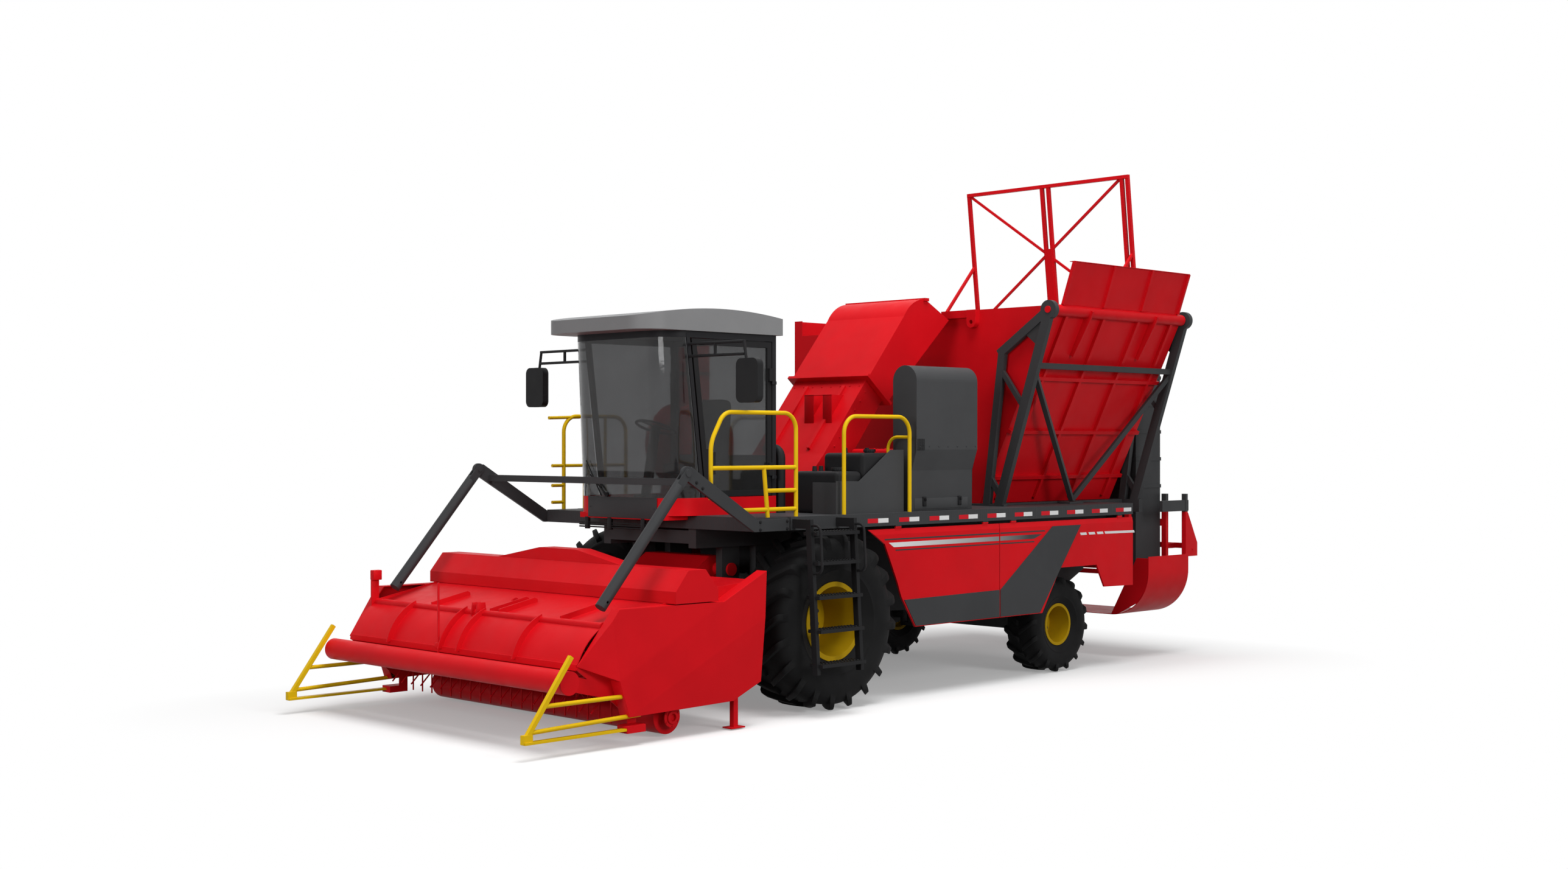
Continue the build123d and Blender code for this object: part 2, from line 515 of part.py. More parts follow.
# Handrails
RAIL_TUBE = 19
HAND_Y = DECK_NOSE_HALF - RAIL_TUBE - SEAT_GAP
HAND_TOP = 2680
with BuildPart() as handrail_left:
    with BuildLine() as hoop:
        FilletPolyline((ax(420), HAND_Y, DECK_TOP), (ax(420), HAND_Y, HAND_TOP), (ax(1300), HAND_Y, HAND_TOP),
                       (ax(1452), HAND_Y, 2420), (ax(1452), HAND_Y, 1930), radius=(150, 150, 300))
    with BuildSketch(Plane(origin=(ax(420), HAND_Y, DECK_TOP), z_dir=(0, 0, 1))):
        Circle(RAIL_TUBE)
    sweep(path=hoop.wires()[0])
    rod((ax(420), HAND_Y, 2199), (ax(1452), HAND_Y, 2199), RAIL_TUBE)
    rod((ax(820), HAND_Y, 2199), (ax(770), HAND_Y, DECK_TOP - 30), RAIL_TUBE)
    rod((ax(420), HAND_Y, 1995), (ax(796), HAND_Y, 1995), RAIL_TUBE)
    rod((ax(420), HAND_Y, 1830), (ax(1080), HAND_Y, 1830), RAIL_TUBE)
    block(ax(300), ax(1100), HAND_Y - 40, HAND_Y + 40, DECK_TOP - 60, DECK_TOP, mode=Mode.SUBTRACT)
handrail_left.part.label = "handrail_left"
export_step(handrail_left.part, "parts/handrail_left.step")

with BuildPart() as handrail_right:
    with BuildLine() as hoop_right:
        FilletPolyline((ax(-40), -HAND_Y, DECK_TOP), (ax(-40), -HAND_Y, HAND_TOP), (ax(760), -HAND_Y, HAND_TOP),
                       (ax(760), -HAND_Y, DECK_TOP), radius=160)
    with BuildSketch(Plane(origin=(ax(-40), -HAND_Y, DECK_TOP), z_dir=(0, 0, 1))):
        Circle(RAIL_TUBE)
    sweep(path=hoop_right.wires()[0])
    rod((ax(560), -HAND_Y, HAND_TOP - 8), (ax(945), -HAND_Y, HAND_TOP - 20), RAIL_TUBE - 3)
    for z in (1830, 1995):
        rod((ax(760), -HAND_Y, z), (ax(905), -HAND_Y, z), RAIL_TUBE - 3)
    rod((ax(-40), -HAND_Y, 2190), (ax(905), -HAND_Y, 2190), RAIL_TUBE - 3)
    for x in (230, 500):
        rod((ax(x), -HAND_Y, DECK_TOP), (ax(x), -HAND_Y, HAND_TOP), RAIL_TUBE - 3)
handrail_right.part.label = "handrail_right"
export_step(handrail_right.part, "parts/handrail_right.step")

with BuildPart() as handrail_tank:
    with BuildLine() as hoop_tank:
        FilletPolyline((ax(-1100), 1460, DECK_TOP), (ax(-1100), 1460, 2660), (ax(-190), 1460, 2660), (ax(-190), 1460, DECK_TOP),
                       radius=160)
    with BuildSketch(Plane(origin=(ax(-1100), 1460, DECK_TOP), z_dir=(0, 0, 1))):
        Circle(RAIL_TUBE)
    sweep(path=hoop_tank.wires()[0])
    with BuildLine() as inner_leg:
        FilletPolyline((ax(-1106), 1450, 2470), (ax(-1106), 1180, 2470), (ax(-1106), 1180, DECK_TOP), radius=120)
    with BuildSketch(Plane(origin=(ax(-1106), 1450, 2470), z_dir=(0, -1, 0))):
        Circle(RAIL_TUBE - 4)
    sweep(path=inner_leg.wires()[0])
handrail_tank.part.label = "handrail_tank"
export_step(handrail_tank.part, "parts/handrail_tank.step")

# Ladder, hung on the deck's strip outside the tyre
LADDER_TOP_Y = 1690
LADDER_LOW_Y = 1780
STEP_HALF = 80
with BuildPart() as ladder:
    for x in (-60, 500):
        bar((ax(x), LADDER_TOP_Y, 1740), (ax(x), LADDER_LOW_Y, 380), 40, 60)
        block(ax(x - 20), ax(x + 20), DECK_HALF, LADDER_TOP_Y, 1660, 1740)
    for z in (1630, 1370, 1070, 775, 475):
        y = LADDER_TOP_Y + (LADDER_LOW_Y - LADDER_TOP_Y) * (1740 - z) / 1360
        block(ax(-60), ax(500), y - STEP_HALF, y + STEP_HALF, z - 30, z)
    for x in (-60, 500):
        with BuildLine() as grip:
            FilletPolyline((ax(x), LADDER_TOP_Y + 12, 1690), (ax(x), LADDER_TOP_Y + 135, 1690),
                           (ax(x), LADDER_TOP_Y + 160, 1270), (ax(x), LADDER_TOP_Y + 40, 1270), radius=60)
        with BuildSketch(Plane(origin=(ax(x), LADDER_TOP_Y + 12, 1690), z_dir=(0, 1, 0))):
            Circle(12)
        sweep(path=grip.wires()[0])
ladder.part.label = "ladder"
export_step(ladder.part, "parts/ladder.step")

# Tank shield and the tanks behind it
SHIELD_Y = 1400
with BuildPart() as tank_shield:
    with BuildSketch(Plane.XZ.offset(-SHIELD_Y)):
        Polygon((ax(-150), DECK_TOP), (ax(-150), 2065), (ax(-460), 2060), (ax(-900), 2350), (ax(-1085), 2350),
                (ax(-1085), DECK_TOP), align=None)
    extrude(amount=6)
    for x in (-160, -1085):
        block(ax(x), ax(x + 10), SHIELD_Y - 300, SHIELD_Y, DECK_TOP, 2050)
tank_shield.part.label = "tank_shield"
export_step(tank_shield.part, "parts/tank_shield.step")

with BuildPart() as tanks:
    block(ax(-560), ax(-200), 800, 1370, DECK_TOP, 2150)
    block(ax(-1060), ax(-540), 850, 1370, DECK_TOP, 2320)
    for x, z in ((-380, 2150), (-820, 2320)):
        with Locations((ax(x), 1200, z)):
            Cylinder(60, 40, align=(Align.CENTER, Align.CENTER, Align.MIN))
tanks.part.label = "tanks"
export_step(tanks.part, "parts/tanks.step")

# Radiator housing with an arched top, and the engine behind it
HOUSING_Y = 1450
HOUSING_TOP = 3160
HOUSING_FRONT = -1135
HOUSING_REAR = -2130
with BuildPart() as radiator_housing:
    with BuildSketch(Plane.XZ.offset(-HOUSING_Y)):
        with Locations((ax((HOUSING_FRONT + HOUSING_REAR) / 2), (DECK_TOP + HOUSING_TOP) / 2)):
            Rectangle(HOUSING_FRONT - HOUSING_REAR, HOUSING_TOP - DECK_TOP)
        fillet(vertices().group_by(Axis.Z)[-1], 190)
    extrude(amount=350)
    with BuildSketch(Plane.YZ.offset(ax(HOUSING_REAR - 10))):
        Polygon((HOUSING_Y - 70, DECK_TOP - 10), (HOUSING_Y + 10, DECK_TOP - 10), (HOUSING_Y + 10, 2350), (HOUSING_Y, 2350),
                (HOUSING_Y - 70, 2150), align=None)
    extrude(amount=HOUSING_FRONT - HOUSING_REAR + 20, mode=Mode.SUBTRACT)
radiator_housing.part.label = "radiator_housing"
export_step(radiator_housing.part, "parts/radiator_housing.step")

with BuildPart() as engine:
    block(ax(-2050), ax(-1200), 560, 1100, DECK_TOP, 2600)
    block(ax(-1900), ax(-1350), 600, 1000, 2600, 2900)
engine.part.label = "engine"
export_step(engine.part, "parts/engine.step")

# Crop elevator: inclined casing with a larger upper section and a curved hood
with BuildPart() as elevator:
    with BuildSketch(Plane.XZ.offset(-ELEV_HALF)):
        Polygon((ax(-600), DECK_TOP), (ax(-600), 1960), (ax(-930), 2310), (ax(-1560), 3070), (ax(-1800), 2870),
                (ax(-1180), 2120), (ax(-1180), DECK_TOP), align=None)
    extrude(amount=2 * ELEV_HALF)
    with BuildSketch(Plane.XZ.offset(-ELEV_HALF - 40)):
        with BuildLine():
            Polyline((ax(-2780), 3700), (ax(-2400), 3900))
            ThreePointArc((ax(-2400), 3900), (ax(-2230), 3860), (ax(-2070), 3710))
            Polyline((ax(-2070), 3710), (ax(-1520), 3060), (ax(-1810), 2820), (ax(-2780), 3700))
        make_face()
    extrude(amount=2 * ELEV_HALF + 80)
    with BuildSketch(Plane.XZ.offset(-ELEV_HALF - 65)):
        Polygon((ax(-1490), 3085), (ax(-1840), 2795), (ax(-1860), 2819), (ax(-1510), 3109), align=None)
    extrude(amount=2 * ELEV_HALF + 130)
    block(ax(-2440), ax(-2370), -ELEV_HALF - 60, ELEV_HALF + 60, 3880, 3912)
    for y in (-260, 260):
        bar((ax(-960), y, 2355), (ax(-1480), y, 2982), 40, 40, up=(1, 0, 0))
elevator.part.label = "elevator"
export_step(elevator.part, "parts/elevator.step")

# Fan duct behind the cab on the right
with BuildPart() as fan_duct:
    with Locations(Plane(origin=(ax(-480), -960, 2400), z_dir=(0, 1, 0))):
        Cylinder(420, 420)
    block(ax(-700), ax(-260), -1170, -750, DECK_TOP, 2400)
    with Locations((ax(-480), -960, 2500)):
        Cylinder(200, 1100, align=(Align.CENTER, Align.CENTER, Align.MIN))
        Cylinder(250, 30, align=(Align.CENTER, Align.CENTER, Align.MIN))
fan_duct.part.label = "fan_duct"
export_step(fan_duct.part, "parts/fan_duct.step")

# Push frame: bent plates on the deck's nose, joined by a flat bar
PUSH_Y = DECK_NOSE_HALF + PUSH_PLATE / 2
PUSH_PROFILE = ((ax(NOSE_X + 10), RAIL_TOP), (ax(980), RAIL_TOP), (ax(PUSH_X + 60), PUSH_Z - 30),
                (ax(PUSH_X - 50), PUSH_Z + 50), (ax(940), 1745), (ax(NOSE_X + 10), 1745))
with BuildPart() as push_frame:
    for s in (1, -1):
        with BuildSketch(Plane.XZ.offset(-s * PUSH_Y)):
            Polygon(*PUSH_PROFILE, align=None)
            with Locations((ax(PUSH_X), PUSH_Z)):
                Circle(60)
                Circle(PUSH_PIN_R + FIT, mode=Mode.SUBTRACT)
        extrude(amount=PUSH_PLATE / 2, both=True)
    block(ax(1610), ax(1650), -PUSH_Y, PUSH_Y, 2050, 2110)
push_frame.part.label = "push_frame"
export_step(push_frame.part, "parts/push_frame.step")

# Push arms: tubes on forked ends, with a cross hole at the free end
ARM = Vector(930, 0, -1070)
ARM_U = ARM.normalized()
EAR = 10
EAR_GAP = 2
with BuildPart() as push_arms:
    for s in (1, -1):
        top = Vector(ax(PUSH_X), s * PUSH_Y, PUSH_Z)
        for e in (1, -1):
            ear = top + Vector(0, e * (PUSH_PLATE / 2 + EAR_GAP + EAR / 2), 0)
            bar(tuple(ear), tuple(ear + ARM_U * 150), EAR, 80)
            rod(tuple(ear - Vector(0, EAR / 2, 0)), tuple(ear + Vector(0, EAR / 2, 0)), 40)
        bar(tuple(top + ARM_U * 100), tuple(top + ARM_U * 150), PUSH_PLATE + 2 * EAR + 2 * EAR_GAP, 80)
        rod(tuple(top + ARM_U * 140), tuple(top + ARM), PUSH_R)
        rod((ax(PUSH_X), s * PUSH_Y - 32, PUSH_Z), (ax(PUSH_X), s * PUSH_Y + 32, PUSH_Z), PUSH_PIN_R)
        low = top + ARM - ARM_U * 60
        rod(tuple(low - Vector(0, 80, 0)), tuple(low + Vector(0, 80, 0)), PUSH_HOLE_R, mode=Mode.SUBTRACT)
push_arms.part.label = "push_arms"
export_step(push_arms.part, "parts/push_arms.step")

# Bin stand: two A-frames with pivots on sills, joined by a crossbar and V-braces
FOOT_Y = 1100
INNER_Y = 935
BRACE_X = -4150


def leg_y(z):
    """Where the A-frame's outer leg stands at height z."""
    return FOOT_Y + (PIVOT_Y - FOOT_Y) * (z - DECK_TOP) / (PIVOT_Z - DECK_TOP)


with BuildPart() as bin_stand:
    for x in (STAND_FRONT, STAND_REAR):
        bar((ax(x), FOOT_Y - 16, DECK_TOP - 50), (ax(x), PIVOT_Y, PIVOT_Z), STAND_T, 100, up=(0, 1, 0))
        bar((ax(x), INNER_Y, DECK_TOP - 50), (ax(x), INNER_Y + 215, 3360), STAND_T, 80, up=(0, 1, 0))
        bar((ax(x), 1110, 3330), (ax(x), PIVOT_Y, PIVOT_Z), STAND_T, 90, up=(0, 1, 0))
        bar((ax(x), 1120, 3180), (ax(x), leg_y(2770), 2770), STAND_T - 20, 50, up=(0, 1, 0))
        bar((ax(x), 965, 2080), (ax(x), leg_y(1850), 1850), STAND_T - 20, 60, up=(0, 1, 0))
        with BuildSketch(Plane.YZ.offset(ax(x) - 15)):
            Polygon((PIVOT_Y, PIVOT_Z), (leg_y(3380), 3380), (1420, 3545), align=None)
        extrude(amount=30)
        with Locations(Plane(origin=(ax(x), PIVOT_Y, PIVOT_Z), z_dir=(1, 0, 0))):
            Cylinder(95, STAND_T)
            Cylinder(PIN_R + FIT, STAND_T, mode=Mode.SUBTRACT)
    for x in (STAND_FRONT, STAND_REAR):
        bar((ax(x), leg_y(3150), 3150), (ax(BRACE_X), leg_y(1800), 1800), 50, 50)
    bar((ax(STAND_REAR), leg_y(3200), 3200), (ax(STAND_FRONT), leg_y(3200), 3200), 50, 60)
    block(ax(STAND_REAR - 60), ax(STAND_FRONT + 60), -DECK_HALF, DECK_HALF, DECK_TOP - 200, DECK_TOP, mode=Mode.SUBTRACT)
    block(ax(STAND_FRONT - 30), ax(STAND_FRONT + 30), -1000, FOOT_Y + 80, DECK_TOP, DECK_TOP + SILL)
    block(ax(STAND_REAR - 30), ax(STAND_REAR + 30), -1000, FOOT_Y + 80, RAIL_TOP, DECK_TOP + SILL)
    block(ax(BRACE_X - 120), ax(BRACE_X + 120), FOOT_Y - 60, FOOT_Y + 80, DECK_TOP, DECK_TOP + SILL)
    for s in (1, -1):
        block(ax(STAND_REAR), ax(STAND_FRONT), s * 900 - 50, s * 900 + 50, DECK_TOP, DECK_TOP + SILL)
        block(ax(STAND_REAR), ax(DECK_REAR), s * 900 - 50, s * 900 + 50, RAIL_TOP, DECK_TOP)
    block(ax(BRACE_X - 30), ax(BRACE_X + 30), 900, FOOT_Y, DECK_TOP, DECK_TOP + SILL)
bin_stand.part.label = "bin_stand"
export_step(bin_stand.part, "parts/bin_stand.step")

# Bin: folded sheet shell hung on the pivot tube, ribbed on its sloping left face
BIN_TOE_Y = 800
BIN_SECTION = ((PIVOT_Y + 24, BIN_TOP), (BIN_TOE_Y, BIN_FLOOR), (-1250, BIN_FLOOR), (BIN_RIGHT, 2450), (BIN_RIGHT, BIN_TOP))
FACE = Vector(0, PIVOT_Y + 24 - BIN_TOE_Y, BIN_TOP - BIN_FLOOR).normalized()
FACE_OUT = Vector(0, FACE.Z, -FACE.Y)
RIB = 40
with BuildPart() as bin_shell:
    with BuildSketch(Plane.YZ.offset(ax(BIN_REAR))):
        Polygon(*BIN_SECTION, align=None)
    extrude(amount=BIN_FRONT - BIN_REAR)
    with BuildSketch(Plane.YZ.offset(ax(BIN_REAR + BIN_WALL))):
        Polygon(*BIN_SECTION, align=None)
        offset(amount=-BIN_WALL, kind=Kind.INTERSECTION, mode=Mode.REPLACE)
    extrude(amount=BIN_FRONT - BIN_REAR - 2 * BIN_WALL, mode=Mode.SUBTRACT)
    block(ax(BIN_REAR + BIN_WALL), ax(BIN_FRONT - BIN_WALL), BIN_RIGHT + BIN_WALL, PIVOT_Y, BIN_TOP - 20, BIN_TOP + 5,
          mode=Mode.SUBTRACT)
    block(ax(BIN_FRONT - 20), ax(BIN_FRONT + 20), BIN_RIGHT + 120, 300, 3640, BIN_TOP + 5, mode=Mode.SUBTRACT)
    for z in (3090, 2540, 2060):
        y = BIN_TOE_Y + (z - BIN_FLOOR) * FACE.Y / FACE.Z
        with Locations(Plane(origin=(ax((BIN_FRONT + BIN_REAR) / 2), y, z), x_dir=(1, 0, 0), z_dir=FACE_OUT)):
            Box(BIN_FRONT - BIN_REAR, RIB, RIB, align=(Align.CENTER, Align.CENTER, Align.MIN))
    for x in (-3200, -3850, -4480, -5100):
        a = Vector(ax(x), BIN_TOE_Y, BIN_FLOOR) + FACE * 60 + FACE_OUT * (RIB / 2 - 4)
        b = Vector(ax(x), PIVOT_Y, PIVOT_Z) - FACE * 40 + FACE_OUT * (RIB / 2 - 4)
        bar(tuple(a), tuple(b), RIB, RIB, up=(0, 1, 0))
    for x in (-3560, -4740):
        with BuildSketch(Plane.YZ.offset(ax(x))):
            Polygon(*[(PIVOT_Y + FACE.Y * d + FACE_OUT.Y * o, PIVOT_Z + FACE.Z * d + FACE_OUT.Z * o)
                      for d, o in ((40, -2), (40, PIVOT_R + 20), (-70, PIVOT_R + 20), (-480, RIB + 6), (-480, -2))], align=None)
        extrude(amount=24)
    block(ax(BIN_FRONT - BIN_WALL), ax(BIN_FRONT + 40), 300, 760, BIN_TOP - 80, BIN_TOP)
    with BuildSketch(Plane.YZ.offset(ax(BIN_FRONT - BIN_WALL))):
        with Locations((725, BIN_TOP - 130)):
            Circle(60)
            Rectangle(120, 130, align=(Align.CENTER, Align.MIN))
            Circle(22, mode=Mode.SUBTRACT)
    extrude(amount=70)
    rod((ax(BIN_REAR), PIVOT_Y, PIVOT_Z), (ax(BIN_FRONT), PIVOT_Y, PIVOT_Z), PIVOT_R)
    rod((ax(STAND_REAR - 40), PIVOT_Y, PIVOT_Z), (ax(STAND_FRONT + 40), PIVOT_Y, PIVOT_Z), PIN_R)
bin_shell.part.label = "bin_shell"
export_step(bin_shell.part, "parts/bin_shell.step")

# Spill flap over the tube, with ribs and a top flange
FLAP_FRONT = -3085
FLAP_REAR = -5200
FLAP_U = Vector(0, FLAP_REACH - 20 - PIVOT_Y, FLAP_TOP - PIVOT_Z).normalized()
with BuildPart() as bin_flap:
    foot = Vector(ax((FLAP_FRONT + FLAP_REAR) / 2), PIVOT_Y, PIVOT_Z) + FLAP_U * (PIVOT_R + SEAT_GAP)
    length = (FLAP_TOP - foot.Z) / FLAP_U.Z
    bar(tuple(foot), tuple(foot + FLAP_U * length), FLAP_FRONT - FLAP_REAR, 6, up=(0, 1, 0))
    block(ax(FLAP_REAR), ax(FLAP_FRONT), FLAP_REACH - 60, FLAP_REACH, FLAP_TOP - 6, FLAP_TOP)
    for x in (-3100, -3800, -4490, -5185):
        foot = Vector(ax(x), PIVOT_Y + 14, PIVOT_Z) + FLAP_U * (PIVOT_R + SEAT_GAP)
        bar(tuple(foot), tuple(foot + FLAP_U * (length - 6)), 30, 28, up=(0, 1, 0))
bin_flap.part.label = "bin_flap"
export_step(bin_flap.part, "parts/bin_flap.step")

# Tall frame standing on the bin's rear wall, leaning forward, with struts to a tube across the bin
FRAME_X = BIN_REAR + 12
FRAME_LEAN = 190
FRAME_TOP = 5400
FRAME_BAR = 40
FRAME_RIGHT = -1080
FRAME_LEFT = 1180
STRUT_X = -4500
FRAME_LOW = BIN_TOP + 20 + SEAT_GAP
FRAME_HIGH = FRAME_TOP - FRAME_BAR / 2
FRAME_MID = (FRAME_LOW + FRAME_HIGH) / 2
STRUT_Z = FRAME_LOW + 0.45 * (FRAME_HIGH - FRAME_LOW)


def frame_at(y, z):
    """A point of the leaning frame's middle plane."""
    return (ax(FRAME_X + FRAME_LEAN * (z - BIN_TOP) / (FRAME_TOP - BIN_TOP)), y, z)


with BuildPart() as bin_frame:
    for y in (FRAME_RIGHT, 0, 90, FRAME_LEFT - 75, FRAME_LEFT):
        bar(frame_at(y, BIN_TOP + 10), frame_at(y, FRAME_TOP), FRAME_BAR, FRAME_BAR)
    for z in (FRAME_HIGH, FRAME_LOW):
        bar(frame_at(FRAME_RIGHT - 20, z), frame_at(FRAME_LEFT + 20, z), FRAME_BAR, FRAME_BAR)
    for y0, y1 in ((FRAME_RIGHT, FRAME_LEFT - 75), (FRAME_LEFT - 75, FRAME_RIGHT)):
        bar(frame_at(y0, FRAME_LOW), frame_at(y1, FRAME_HIGH), 20, 30)
    bar(frame_at(45, FRAME_LOW), frame_at(45, FRAME_MID + 60), 100, 60)
    for y in (FRAME_RIGHT, FRAME_LEFT):
        bar(frame_at(y, STRUT_Z), (ax(STRUT_X), y, BIN_TOP - 50), 30, 30)
    rod((ax(STRUT_X), BIN_RIGHT + BIN_WALL + SEAT_GAP, BIN_TOP - 60),
        (ax(STRUT_X), PIVOT_Y - PIVOT_R - SEAT_GAP, BIN_TOP - 60), 30)
bin_frame.part.label = "bin_frame"
export_step(bin_frame.part, "parts/bin_frame.step")

# Side doors hung from the deck's strip, the rear one with a dark band let into it
PANEL_T = 20
PANEL_TOP = RAIL_TOP - 30
PANEL_SPLIT = -2420
PANEL_FRONT = ((ax(-480), PANEL_TOP), (ax(-705), 1470), (ax(-875), 1120), (ax(-940), 960), (ax(-1135), 670),
               (ax(PANEL_SPLIT + 4), 670), (ax(PANEL_SPLIT + 4), PANEL_TOP))
PANEL_REAR = ((ax(PANEL_SPLIT - 4), PANEL_TOP), (ax(PANEL_SPLIT - 4), 670), (ax(-3120), 670), (ax(-3430), 1120),
              (ax(-4070), 1120), (ax(-4210), 880), (ax(DECK_REAR), 870), (ax(DECK_REAR), PANEL_TOP))
PANEL_SKIRT = ((ax(-975), 935), (ax(-1140), 678), (ax(PANEL_SPLIT + 8), 678), (ax(PANEL_SPLIT + 8), 948))
PANEL_BAND = ((ax(PANEL_SPLIT - 8), 678), (ax(PANEL_SPLIT - 8), 948), (ax(-3290), PANEL_TOP - 55), (ax(-3780), PANEL_TOP - 55),
              (ax(-3075), 678))
PANEL_BEVEL = ((DECK_HALF, PANEL_TOP - 50), (DECK_HALF + 10, PANEL_TOP - 50), (DECK_HALF + 10, PANEL_TOP + 10),
               (DECK_HALF - 12, PANEL_TOP + 10))
with BuildPart() as side_door_left:
    with BuildSketch(Plane.XZ.offset(-DECK_HALF)):
        Polygon(*PANEL_FRONT, align=None)
    extrude(amount=PANEL_T)
    with BuildSketch(Plane.XZ.offset(-DECK_HALF - 6)):
        Polygon(*PANEL_SKIRT, align=None)
    extrude(amount=10)
    with BuildSketch(Plane.YZ.offset(ax(PANEL_SPLIT))):
        Polygon(*PANEL_BEVEL, align=None)
    extrude(amount=3000, mode=Mode.SUBTRACT)
    for x in HINGE_XS[:2]:
        block(ax(x - 40), ax(x + 40), DECK_HALF - PANEL_T, DECK_HALF - 6, PANEL_TOP - 60, HINGE_Z)
        rod((ax(x - 40), DECK_HALF - 10, HINGE_Z), (ax(x + 40), DECK_HALF - 10, HINGE_Z), HINGE_R)
side_door_left.part.label = "side_door_left"
export_step(side_door_left.part, "parts/side_door_left.step")

with BuildPart() as side_door_right:
    mirror(side_door_left.part, about=Plane.XZ)
side_door_right.part.label = "side_door_right"
export_step(side_door_right.part, "parts/side_door_right.step")

with BuildPart() as side_band_left:
    with BuildSketch(Plane.XZ.offset(-DECK_HALF - 6)):
        Polygon(*PANEL_BAND, align=None)
    extrude(amount=6)
side_band_left.part.label = "side_band_left"
export_step(side_band_left.part, "parts/side_band_left.step")

with BuildPart() as side_band_right:
    mirror(side_band_left.part, about=Plane.XZ)
side_band_right.part.label = "side_band_right"
export_step(side_band_right.part, "parts/side_band_right.step")

with BuildPart() as rear_door_left:
    with BuildSketch(Plane.XZ.offset(-DECK_HALF)):
        Polygon(*PANEL_REAR, align=None)
    extrude(amount=PANEL_T)
    with BuildSketch(Plane.YZ.offset(ax(DECK_REAR - 10))):
        Polygon(*PANEL_BEVEL, align=None)
    extrude(amount=3000, mode=Mode.SUBTRACT)
    for x in HINGE_XS[2:]:
        block(ax(x - 40), ax(x + 40), DECK_HALF - PANEL_T, DECK_HALF - 6, PANEL_TOP - 60, HINGE_Z)
        rod((ax(x - 40), DECK_HALF - 10, HINGE_Z), (ax(x + 40), DECK_HALF - 10, HINGE_Z), HINGE_R)
rear_door_left.part.label = "rear_door_left"
export_step(rear_door_left.part, "parts/rear_door_left.step")

with BuildPart() as rear_door_right:
    mirror(rear_door_left.part, about=Plane.XZ)
rear_door_right.part.label = "rear_door_right"
export_step(rear_door_right.part, "parts/rear_door_right.step")

# Rear boot: posts on cross beams from the rails, a curved trough sheet and a rear bar
POST_Y = 1100
TROUGH_Y = 900
TROUGH_Z = 980
TROUGH_R = 500
TROUGH_T = 8
TROUGH_TOP = 1149
TROUGH_SIDE = TROUGH_Y + TROUGH_R
with BuildPart() as rear_boot:
    for s in (1, -1):
        for x in (-5230, -5970):
            block(ax(x - 25), ax(x + 25), s * (POST_Y - 30), s * (POST_Y + 30), 900, 1830 if x < -5400 else RAIL_TOP)
        block(ax(-5255), ax(-5205), s * (RAIL_Y + RAIL_W / 2), s * POST_Y, RAIL_LOW, RAIL_LOW + 80)
    block(ax(-5995), ax(-5945), -POST_Y, POST_Y, RAIL_LOW, RAIL_LOW + 80)
    block(ax(-5945), ax(-5900), -RAIL_Y - 50, RAIL_Y + 50, RAIL_LOW, RAIL_LOW + 80)
    with BuildSketch(Plane.YZ.offset(ax(-5990))):
        with BuildLine():
            for s in (1, -1):
                for r in (TROUGH_R, TROUGH_R - TROUGH_T):
                    CenterArc((s * TROUGH_Y, TROUGH_Z), r, -90, s * 90)
                    Line((s * (TROUGH_Y + r), TROUGH_Z), (s * (TROUGH_Y + r), TROUGH_TOP))
                    if s == 1:
                        Line((-TROUGH_Y, TROUGH_Z - r), (TROUGH_Y, TROUGH_Z - r))
                Line((s * (TROUGH_Y + TROUGH_R), TROUGH_TOP), (s * (TROUGH_Y + TROUGH_R - TROUGH_T), TROUGH_TOP))
        make_face()
    extrude(amount=800)
    for x in (-5230, -5970):
        block(ax(x - 25), ax(x + 25), 4 - TROUGH_SIDE, TROUGH_SIDE - 4, 930, 980)
    for s in (1, -1):
        with BuildSketch(Plane.YZ.offset(ax(-5202))):
            Polygon((s * TROUGH_Y, 484), (s * (TROUGH_SIDE - 157), TROUGH_TOP - 18), (s * (TROUGH_SIDE - 4), TROUGH_TOP - 18),
                    (s * (TROUGH_SIDE - 4), 975), (s * (TROUGH_SIDE - 42), 785), (s * (TROUGH_SIDE - 150), 631),
                    (s * (TROUGH_Y + 90), 493), align=None)
        extrude(amount=12)
        block(ax(-5985), ax(-5945), s * (TROUGH_SIDE - 60), s * (TROUGH_SIDE - 4), 940, 1834)
        block(ax(-6010), ax(-5480), s * (TROUGH_SIDE - 50), s * (TROUGH_SIDE - 10), 1640, 1763)
        with BuildSketch(Plane.XZ.offset(-s * (TROUGH_SIDE - 20) - 5)):
            Polygon((ax(-5960), 1615), (ax(-6010), 1615), (ax(REAR_END), 1270), (ax(REAR_END), 1120), (ax(-5960), 1120), align=None)
        extrude(amount=10)
        block(ax(REAR_END), ax(-5970), s * (POST_Y - 20), s * (POST_Y + 20), 1200, 1260)
    block(ax(REAR_END), ax(REAR_END + 40), 20 - TROUGH_SIDE, TROUGH_SIDE - 20, 1200, 1260)
rear_boot.part.label = "rear_boot"
export_step(rear_boot.part, "parts/rear_boot.step")

# Trash elevator: a ribbed upright trunk behind the bin
with BuildPart() as rear_elevator:
    block(ax(-5940), ax(-5450), RAIL_Y + RAIL_W / 2, POST_Y - 45, 981, 3650)
    for i in range(6):
        block(ax(-5948), ax(-5442), RAIL_Y + RAIL_W / 2 - 8, POST_Y - 37, 1900 + 310 * i, 1940 + 310 * i)
rear_elevator.part.label = "rear_elevator"
export_step(rear_elevator.part, "parts/rear_elevator.step")

